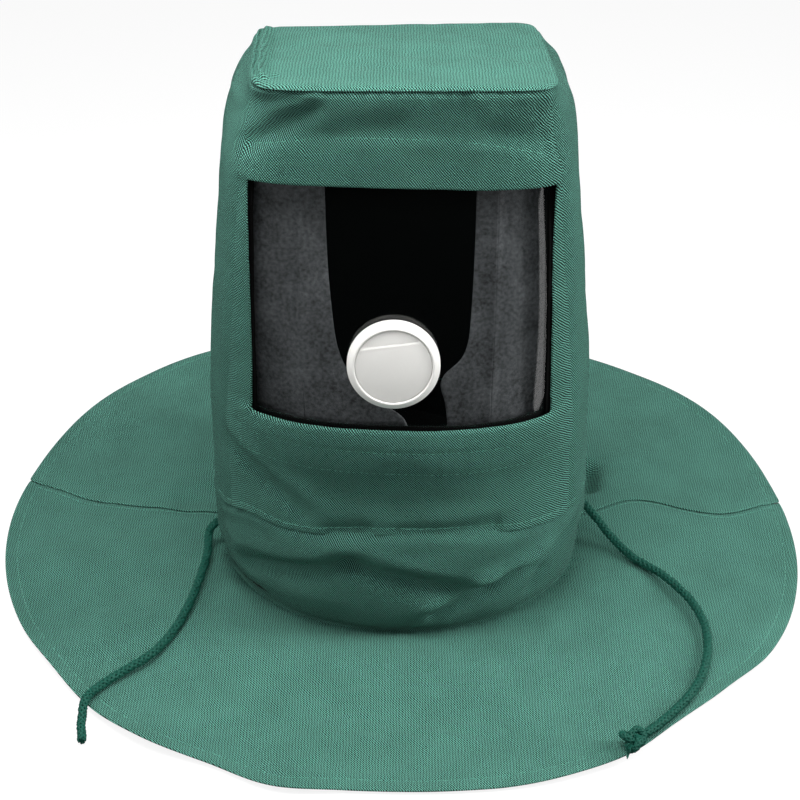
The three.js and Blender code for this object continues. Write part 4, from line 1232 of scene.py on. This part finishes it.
def make_neck_band():
    def place(i, j):
        return band_point(band_angle(i), 1 - band_share(j))

    def cloth(i, j):
        angle = FULL_TURN * i / BAND_CELLS
        return HOOD_WIDTH / 2 * 1.05 * angle, band_share(j) * BAND_CLOTH

    def kept(i, j):
        return not is_slit(i, j)

    bm = cloth_grid(BAND_CELLS, BAND_ROWS, place, cloth, closed=True, kept=kept)
    piece = add_object("gathered_neck_band", bm, [canvas(), coated_canvas()], ["neck_band"])
    thicken(piece, NECK_WALL, inner=True)


# The cape

CAPE_CELLS_FRONT = 160
CAPE_CELLS_BACK = 128
CAPE_ROWS = 44
HEM_ROWS = 4
CAPE_TUCK = 1.02
CAPE_LAP = 3.0


def cape_cloth_point(angle, inward):
    """A point of the cape's upper face with its soft waves, its hem and its gathers."""
    reach = mix(hem_reach(angle), cape_inner(angle), inward)
    x = reach * math.cos(angle)
    y = reach * math.sin(angle)
    free = smooth(inward / 0.1) * smooth((1 - inward) / 0.08)
    past_hem = inward * (hem_reach(angle) - cape_inner(angle)) - HEM_WIDTH
    out = crumple((x, y, 0), size=62, depth=3.4, seed=9.2) + crumple((x, y, 0), size=27, depth=0.9, seed=3.9)
    out += 1.2 * math.sin(angle * 9 + 3 * noise.noise(Vector((x / 90, y / 90, 0)))) * (1 - inward)
    out *= free
    out += swell(past_hem, wide=1.3, high=-0.7)
    out += pucker(hem_reach(angle) * angle, past_hem, pitch=9, depth=0.35)
    out += pucker(120 * angle, (1 - inward) * 160, pitch=10, depth=0.8, reach=10)
    return cape_point(angle, inward, max(out, -2.0) if inward > 0.02 else 0.0)


def cape_row(j):
    if j <= HEM_ROWS:
        return HEM_SHARE * j / HEM_ROWS
    return mix(HEM_SHARE, CAPE_TUCK, (j - HEM_ROWS) / (CAPE_ROWS - HEM_ROWS))


def make_cape(name, node, columns, from_seam, to_seam, turn, under):
    """Half of the cape. under says that its seam edges run under the other half's."""
    def spot(i, j):
        inward = cape_row(j)
        lap = CAPE_LAP / mix(CAPE_REACH, CAPE_SEAM_WIDTH / 2, inward) if under else 0.0
        start = seam_angle(from_seam, inward) - turn - lap
        end = seam_angle(to_seam, inward) + lap
        return mix(start, end, i / columns), inward

    def place(i, j):
        angle, inward = spot(i, j)
        point = cape_cloth_point(angle, inward)
        half_way_round = math.pi * mix(CAPE_REACH, CAPE_SEAM_WIDTH / 2, inward)
        from_edge = min(i, columns - i) / columns * half_way_round
        point.z += swell(from_edge, wide=5, high=-1.3) if under else swell(from_edge, wide=7, high=0.8)
        return point

    def cloth(i, j):
        return cape_point(*spot(i, j)).xy

    bm = cloth_grid(columns, CAPE_ROWS, place, cloth)
    piece = add_object(name, bm, [ribbed_canvas(), coated_canvas()], [node])
    thicken(piece, CANVAS, inner=True)


# The cord

STRANDS = 8
BRAID_RADIUS = 2.05
BRAID_WEAVE = 0.3
CORE_RADIUS = 1.7
LINE_STEP = 0.9


def route_point(stop):
    """A point of a cord's middle line, above the highest cape that the cord lies on there."""
    around = [(0, 0), (1, 0), (-1, 0), (0, 1), (0, -1)]
    under = max(cape_under(stop["x"] + a * CORD, stop["y"] + b * CORD) for a, b in around)
    return Vector((stop["x"], stop["y"], under + stop["above"] + CORD / 2))


def curve_through(points, spacing):
    """Evenly spaced points along a smooth curve through the given ones, which swings out at none of them."""
    fine = []
    ends = [2 * points[0] - points[1], *points, 2 * points[-1] - points[-2]]
    for before, start, end, after in zip(ends, ends[1:], ends[2:], ends[3:]):
        knots = [0.0]
        for a, b in ((before, start), (start, end), (end, after)):
            knots.append(knots[-1] + math.sqrt((b - a).length))
        leave = (start - before) / (knots[1] - knots[0]) - (end - before) / (knots[2] - knots[0])
        leave += (end - start) / (knots[2] - knots[1])
        arrive = (end - start) / (knots[2] - knots[1]) - (after - start) / (knots[3] - knots[1])
        arrive += (after - end) / (knots[3] - knots[2])
        span = (knots[2] - knots[1]) / 3
        fine += interpolate_bezier(start, start + leave * span, end - arrive * span, end, 24)[:-1]
    fine.append(points[-1])
    evenly = [fine[0]]
    left = spacing
    for a, b in zip(fine, fine[1:]):
        length = (b - a).length
        done = 0.0
        while length - done >= left:
            done += left
            evenly.append(a.lerp(b, done / length))
            left = spacing
        left -= length - done
    return evenly


def frames_along(points):
    """At each point of a line, two directions across it that turn as little as possible."""
    frames = []
    side = Vector((0, 0, 1))
    for k, point in enumerate(points):
        ahead = (points[min(k + 1, len(points) - 1)] - points[max(k - 1, 0)]).normalized()
        side = (side - ahead * side.dot(ahead)).normalized()
        frames.append((point, side, ahead.cross(side)))
    return frames


def tubes(lines, radius, resolution=1):
    """Round threads along lines, as one bmesh."""
    curve = bpy.data.curves.new("threads", "CURVE")
    curve.dimensions = "3D"
    curve.bevel_depth = radius * MM
    curve.bevel_resolution = resolution
    curve.use_fill_caps = True
    for line in lines:
        spline = curve.splines.new("POLY")
        spline.points.add(len(line) - 1)
        for dot, point in zip(spline.points, line):
            dot.co = (*in_frame(point), 1)
    holder = bpy.data.objects.new("threads", curve)
    bpy.context.scene.collection.objects.link(holder)
    mesh = bpy.data.meshes.new_from_object(holder.evaluated_get(bpy.context.evaluated_depsgraph_get()))
    bm = bmesh.new()
    bm.from_mesh(mesh)
    bpy.data.objects.remove(holder)
    bpy.data.curves.remove(curve)
    bpy.data.meshes.remove(mesh)
    return bm


def braid(points, sizes, scale=1.0):
    """The strands of a round braid along a line: half of them turn one way and half the other."""
    frames = frames_along(points)
    step = (points[1] - points[0]).length
    lines = []
    for k in range(STRANDS):
        way = 1 if k % 2 else -1
        start = FULL_TURN * (k // 2) / (STRANDS / 2)
        phase = math.pi / 2 * (k // 2)
        line = []
        for n, (point, side, other) in enumerate(frames):
            turn = FULL_TURN * n * step * MM / sizes.braid_pitch
            angle = start + way * turn
            radius = scale * (BRAID_RADIUS + BRAID_WEAVE * way * math.cos(STRANDS / 2 * turn + phase))
            line.append(point + side * radius * math.cos(angle) + other * radius * math.sin(angle))
        lines.append(line)
    return lines


def join_in(bm, other):
    """Adds another bmesh's shape to this one."""
    mesh = bpy.data.meshes.new("joined")
    other.to_mesh(mesh)
    other.free()
    bm.from_mesh(mesh)
    bpy.data.meshes.remove(mesh)


def knot_path():
    """An overhand knot, as a closed line around its middle."""
    centre = route_point(KNOT_PLACE)
    centre.z += KNOT_RISE
    turns = []
    for k in range(KNOT_STEPS):
        t = FULL_TURN * k / KNOT_STEPS
        x = math.sin(t) + 2 * math.sin(2 * t)
        y = math.cos(t) - 2 * math.cos(2 * t)
        turns.append(centre + Vector((2.5 * x, 3.0 * y, -2.6 * math.sin(3 * t))))
    turns.append(turns[0].copy())
    return centre, turns


def make_cord(name, route, node, sizes):
    points = curve_through([route_point(stop) for stop in route], LINE_STEP)
    bm = tubes(braid(points, sizes), sizes.strand_width / MM / 2)
    join_in(bm, tubes([points], CORE_RADIUS))
    piece = add_object(name, bm, [braided_yarn()], [node])
    line = [in_frame(point) for point in points]


def make_knot(sizes):
    centre, turns = knot_path()
    bm = tubes(braid(turns, sizes, KNOT_SCALE), 0.85)
    join_in(bm, tubes([turns], 1.5))
    frayed = []
    for k in range(FRAYED_HAIRS):
        seed = Vector((k * 1.7, 3.1, 0))
        aim = Vector((-0.45, -1.0, 0.1)) + 0.9 * scattered(seed)
        start = centre + Vector((-2, -6, 0)) + 2.2 * scattered(seed + Vector((9, 0, 0)))
        reach = 6 + 4 * noise.noise(seed + Vector((0, 5, 0)))
        bend = 1.6 * scattered(seed + Vector((0, 0, 7)))
        frayed.append([start, start + aim * reach * 0.5 + bend, start + aim * reach])
    join_in(bm, tubes(frayed, 0.42, 0))
    return add_object("knot", bm, [braided_yarn()], ["cord_knot"])


# The stitching

THREAD_RADIUS = 0.24
UPWARD = Vector((0, 0, 1))


def wall_line(steps, line, front):
    """A line of points on the walls with the way out at each. line gives angle, level and x at a share."""
    found = []
    for k in range(steps + 1):
        angle, level, x = line(k / steps)
        facing = wall_facing(angle, level)
        found.append((wall_point(angle, level) + facing * wall_relief(angle, level, x, front), facing))
    return found


def stitches_along(line):
    """Short threads along a line of points and ways out: each dips into the cloth at both its ends."""
    sizes = bpy.context.scene.hood_cloth
    stitch = sizes.stitch_length / MM
    pitch = stitch + sizes.stitch_gap / MM
    reached = [0.0]
    for (a, _), (b, _) in zip(line, line[1:]):
        reached.append(reached[-1] + (b - a).length)

    def at(distance):
        distance = clamp(distance, 0.0, reached[-1])
        k = 0
        while k < len(reached) - 2 and reached[k + 1] < distance:
            k += 1
        share = (distance - reached[k]) / max(reached[k + 1] - reached[k], 1e-6)
        return line[k][0].lerp(line[k + 1][0], share), line[k][1].lerp(line[k + 1][1], share)

    sewn = []
    for k in range(int(reached[-1] / pitch)):
        thread = []
        for share, height in ((0.0, -1), (0.2, 0.6), (0.8, 0.6), (1.0, -1)):
            point, out = at(k * pitch + share * stitch)
            thread.append(point + out * height * THREAD_RADIUS)
        sewn.append(thread)
    return sewn


def front_stitches(level_at, bowed):
    """A line of stitches from side to side of the front wall."""
    def line(share):
        reach = SEAM_SHARE * section_at(level_at + 20 * bowed)["side"] - 4
        x = mix(-1, 1, share) * reach
        level = level_at + WINDOW_TILT * x + bowed * stitch_above(x)
        return front_angle(x, section_at(level)), level, x

    return stitches_along(wall_line(120, line, True))


def neck_stitches():
    def line(share):
        angle = -math.pi / 2 + FULL_TURN * share
        level = neck_seam_at(angle) + NECK_STITCH
        return angle, level, wall_reach(angle, section_at(level)) * math.cos(angle)

    return stitches_along(wall_line(360, line, False))


def hem_stitches():
    line = []
    for k in range(721):
        angle = FULL_TURN * k / 720
        inward = HEM_WIDTH / (hem_reach(angle) - cape_inner(angle))
        line.append((cape_cloth_point(angle, inward) + 0.35 * UPWARD, UPWARD))
    return stitches_along(line)


def cape_seam_stitches(rows, side):
    line = []
    for k in range(101):
        inward = mix(0.06, 0.97, k / 100)
        reach = mix(hem_reach(0), CAPE_SEAM_WIDTH / 2, inward)
        angle = seam_angle(rows, inward) - side * 5.5 / reach
        line.append((cape_cloth_point(angle, inward) + 0.9 * UPWARD, UPWARD))
    return stitches_along(line)


def all_stitches():
    sewn = front_stitches(WINDOW_TOP, True)
    for below in (STITCH_BELOW, STITCH_UNDER):
        sewn += front_stitches(WINDOW_BOTTOM - below, False)
    sewn += neck_stitches() + hem_stitches()
    return sewn + cape_seam_stitches(RIGHT_SEAM, 1) + cape_seam_stitches(LEFT_SEAM, -1)


# The stage

CAMERA_PLACE = (0, -1145.1, 830.7)
CAMERA_AIM = (0, 0, 129)
LENS = 85.5
SENSOR = 36
FLOOR_HALF = 4
FLOOR_BELOW = 0.8
WORLD_LIGHT = 0.2
LIGHTS = table(
    "name place aim wide tall power share rolled",
    ("overhead softbox", (-110, -190, 1060), (0, -20, 250), 700, 600, "overhead", 1, 0),
    ("right light", (950, -150, 620), (0, 0, 200), 260, 900, "side_light", 1, 0),
    ("left light", (-950, -150, 620), (0, 0, 200), 500, 500, "side_light", 0.35, 0),
    ("camera fill", (-200, -1500, 480), (0, 0, 200), 900, 500, "fill_light", 1, 0),
    ("strip light by the window", (335, -200, 140), (93, -150, 210), 54, 250, "strip_light", 1, 26),
)


def aimed(data, name, place, aim):
    """Puts a light or the camera at a place and turns it to look at another."""
    thing = bpy.data.objects.new(name, data)
    bpy.context.scene.collection.objects.link(thing)
    thing.location = in_frame(place)
    thing.rotation_euler = (in_frame(aim) - in_frame(place)).to_track_quat("-Z", "Y").to_euler()
    return thing


def soft_light(row, watts):
    light = bpy.data.lights.new(row["name"], "AREA")
    light.shape = "RECTANGLE"
    light.size = row["wide"] * MM
    light.size_y = row["tall"] * MM
    light.energy = watts
    lamp = aimed(light, row["name"], row["place"], row["aim"])
    lamp.rotation_euler.rotate_axis("Z", math.radians(row["rolled"]))


def cad_node(name, material):
    """Gives a CAD node that stays in view its finish."""
    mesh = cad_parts[name].data
    mesh.materials.clear()
    mesh.materials.append(material)


# Sizes and colours that a user would change


def colour_property(name, description, default):
    return FloatVectorProperty(name=name, description=description, default=srgb(default),
                               subtype="COLOR_GAMMA", min=0.0, max=1.0)


def length_property(name, description, default):
    return FloatProperty(name=name, description=description, default=default * MM, unit="LENGTH", min=0.0)


def power_property(name, description, default):
    return FloatProperty(name=name, description=description, default=default, unit="POWER", min=0.0)


class HoodCloth(bpy.types.PropertyGroup):
    canvas_colour: colour_property("Canvas", "Dye of the canvas", "#375950")
    thread_colour: colour_property("Thread", "Colour of the sewing thread", "#528f7e")
    twill_pitch: length_property("Twill pitch", "Distance between two lines of the twill", 1.65)
    weft_pitch: length_property("Weft pitch", "Distance between the threads that cross the twill", 1.55)
    rib_pitch: length_property("Rib pitch", "Distance between two ribs of the warp", 1.9)
    weave_depth: length_property("Weave depth", "How deep the gaps between the threads are", 0.9)
    stitch_length: length_property("Stitch length", "Length of one stitch", 3.1)
    stitch_gap: length_property("Stitch gap", "Distance between two stitches", 1.1)


class HoodWindow(bpy.types.PropertyGroup):
    film_colour: colour_property("Film", "Tint of the clear film", "#0c0f0f")
    film_cover: FloatProperty(name="Film cover", description="How much the film hides", default=0.22,
                              min=0.0, max=1.0, subtype="FACTOR")
    face_cloth_colour: colour_property("Face cloth", "Colour of the cloth behind the film", "#525557")
    valve_colour: colour_property("Valve", "Colour of the valve's plastic", "#efeeea")


class HoodCord(bpy.types.PropertyGroup):
    cord_colour: colour_property("Cord", "Colour of the drawcord", "#08463a")
    braid_pitch: length_property("Braid pitch", "Length in which a strand goes round once", 15.0)
    strand_width: length_property("Strand width", "Width of one strand of the braid", 1.96)


class HoodStage(bpy.types.PropertyGroup):
    floor_colour: colour_property("Floor", "Colour of the backdrop paper", "#787878")
    floor_glow: FloatProperty(name="Floor glow", description="How strongly the backlight shines through",
                              default=0.86, min=0.0)
    overhead: power_property("Overhead light", "Power of the softbox above", 11.8)
    side_light: power_property("Side light", "Power of the light from the right", 11.0)
    fill_light: power_property("Fill light", "Power of the light by the camera", 3.6)
    strip_light: power_property("Strip light", "Power of the strip that the film mirrors", 0.08)


# Operators


class HOOD_OT_stage(bpy.types.Operator):
    """Sets up the camera, the floor and the soft lights"""
    bl_idname = "hood.stage"
    bl_label = "Stage"

    def execute(self, context):
        sizes = context.scene.hood_stage
        camera = bpy.data.cameras.new("camera")
        camera.lens = LENS
        camera.sensor_width = SENSOR
        context.scene.camera = aimed(camera, "camera", CAMERA_PLACE, CAMERA_AIM)
        context.scene.view_settings.view_transform = "Standard"
        bm = bmesh.new()
        bmesh.ops.create_grid(bm, x_segments=1, y_segments=1, size=FLOOR_HALF)
        bmesh.ops.translate(bm, verts=bm.verts, vec=(0, 0, -FLOOR_BELOW * MM))
        mesh = bpy.data.meshes.new("floor")
        bm.to_mesh(mesh)
        bm.free()
        mesh.materials.append(made("backdrop paper", floor_material, sizes.floor_colour, sizes.floor_glow))
        floor = bpy.data.objects.new("floor", mesh)
        context.scene.collection.objects.link(floor)
        floor.visible_diffuse = False
        floor.visible_glossy = False
        for row in LIGHTS:
            soft_light(row, row["share"] * getattr(sizes, row["power"]))
        world = bpy.data.worlds.new("studio")
        world.use_nodes = True
        background = world.node_tree.nodes["Background"]
        background.inputs["Color"].default_value = linear("#ffffff")
        background.inputs["Strength"].default_value = WORLD_LIGHT
        world.cycles_visibility.glossy = False
        context.scene.world = world
        return {"FINISHED"}


class HOOD_OT_drawcord(bpy.types.Operator):
    """Braids the two free ends of the drawcord and the knot on the right one"""
    bl_idname = "hood.drawcord"
    bl_label = "Drawcord"

    def execute(self, context):
        sizes = context.scene.hood_cord
        knot = make_knot(sizes)
        make_cord("drawcord_left_end", LEFT_ROUTE, "drawcord_left", sizes)
        make_cord("drawcord_right_end", RIGHT_ROUTE, "drawcord_right", sizes)
        return {"FINISHED"}


class HOOD_OT_walls(bpy.types.Operator):
    """Sews the front panel around the window and the back panel"""
    bl_idname = "hood.walls"
    bl_label = "Walls"

    def execute(self, context):
        def front_cloth(i, j):
            _, level, x = front_spot(i, j)
            return x, level

        def back_cloth(i, j):
            angle, level = back_spot(i, j)
            return HOOD_WIDTH / 2 * angle, level

        bm = cloth_grid(FRONT_CELLS, WALL_ROWS, front_cloth_point, front_cloth, kept=front_window)
        front = add_object("front_wall", bm, [canvas(), coated_canvas()], ["front_panel"])
        thicken(front, CANVAS, inner=True)
        bm = cloth_grid(BACK_CELLS, WALL_ROWS, back_cloth_point, back_cloth)
        back = add_object("back_wall", bm, [canvas(), coated_canvas()], ["back_panel"])
        thicken(back, CANVAS, inner=True)
        return {"FINISHED"}


class HOOD_OT_crown(bpy.types.Operator):
    """Sews the crown over the walls' upper edge"""
    bl_idname = "hood.crown"
    bl_label = "Crown"

    def execute(self, context):
        def cloth(i, j):
            point = crown_point(i, j)
            return point.x, point.y

        bm = cloth_grid(CROWN_CELLS, CROWN_CELLS, crown_point, cloth)
        crown = add_object("crown_top", bm, [ribbed_canvas(), coated_canvas()], ["crown_panel"])
        thicken(crown, CANVAS, inner=True)
        # The crown's cut edge takes the near-black coated canvas: a painted shade line under the lip, along
        # the seam.
        crown.modifiers["wall"].material_offset_rim = 1
        return {"FINISHED"}


class HOOD_OT_neck_band(bpy.types.Operator):
    """Gathers the neck band between the walls and the cape"""
    bl_idname = "hood.neck_band"
    bl_label = "Neck band"

    def execute(self, context):
        make_neck_band()
        cad_node("cord_casing", coated_canvas())
        return {"FINISHED"}


class HOOD_OT_cape(bpy.types.Operator):
    """Spreads the two halves of the cape on the floor"""
    bl_idname = "hood.cape"
    bl_label = "Cape"

    def execute(self, context):
        make_cape("cape_front_half", "cape_front", CAPE_CELLS_FRONT, LEFT_SEAM, RIGHT_SEAM, FULL_TURN, True)
        make_cape("cape_back_half", "cape_back", CAPE_CELLS_BACK, RIGHT_SEAM, LEFT_SEAM, 0.0, False)
        return {"FINISHED"}


class HOOD_OT_window(bpy.types.Operator):
    """Sets the clear film, its bindings and its facing behind the window"""
    bl_idname = "hood.window"
    bl_label = "Window"

    def execute(self, context):
        make_film()
        make_binding("film_binding_left", "lens_binding_left", -1)
        make_binding("film_binding_right", "lens_binding_right", 1)
        cad_node("window_facing", coated_canvas())
        return {"FINISHED"}


class HOOD_OT_face_cloth(bpy.types.Operator):
    """Hangs the face cloth with its opening behind the film"""
    bl_idname = "hood.face_cloth"
    bl_label = "Face cloth"

    def execute(self, context):
        make_liner()
        return {"FINISHED"}


class HOOD_OT_valve(bpy.types.Operator):
    """Turns the valve's ring and its flap"""
    bl_idname = "hood.valve"
    bl_label = "Valve"

    def execute(self, context):
        make_valve()
        cad_node("valve_nut", moulded_plastic())
        return {"FINISHED"}


class HOOD_OT_stitches(bpy.types.Operator):
    """Sews the visible lines of stitches"""
    bl_idname = "hood.stitches"
    bl_label = "Stitches"

    def execute(self, context):
        add_object("stitches", tubes(all_stitches(), THREAD_RADIUS, 0), [sewing_thread()])
        return {"FINISHED"}


STEPS = (
    HOOD_OT_stage, HOOD_OT_drawcord, HOOD_OT_walls, HOOD_OT_crown, HOOD_OT_neck_band, HOOD_OT_cape,
    HOOD_OT_window, HOOD_OT_face_cloth, HOOD_OT_valve, HOOD_OT_stitches,
)
GROUPS = {"hood_cloth": HoodCloth, "hood_window": HoodWindow, "hood_cord": HoodCord, "hood_stage": HoodStage}


class HOOD_PT_panel(bpy.types.Panel):
    """Lists the hood's pieces, with the sizes and colours that can be changed"""
    bl_idname = "HOOD_PT_panel"
    bl_label = "Sandblasting hood"
    bl_space_type = "VIEW_3D"
    bl_region_type = "UI"
    bl_category = "Hood"

    def draw(self, context):
        for step in STEPS:
            self.layout.operator(step.bl_idname)
        for group in GROUPS:
            box = self.layout.box()
            for name in GROUPS[group].__annotations__:
                box.prop(getattr(context.scene, group), name)


def register():
    for group in GROUPS.values():
        bpy.utils.register_class(group)
    for name, group in GROUPS.items():
        setattr(bpy.types.Scene, name, PointerProperty(type=group))
    for step in STEPS:
        bpy.utils.register_class(step)
    bpy.utils.register_class(HOOD_PT_panel)


def unregister():
    bpy.utils.unregister_class(HOOD_PT_panel)
    for step in reversed(STEPS):
        bpy.utils.unregister_class(step)
    for name, group in GROUPS.items():
        delattr(bpy.types.Scene, name)
        bpy.utils.unregister_class(group)


def main():
    register()
    for step in STEPS:
        getattr(bpy.ops.hood, step.bl_idname.split(".")[1])()


if __name__ == "__main__":
    main()
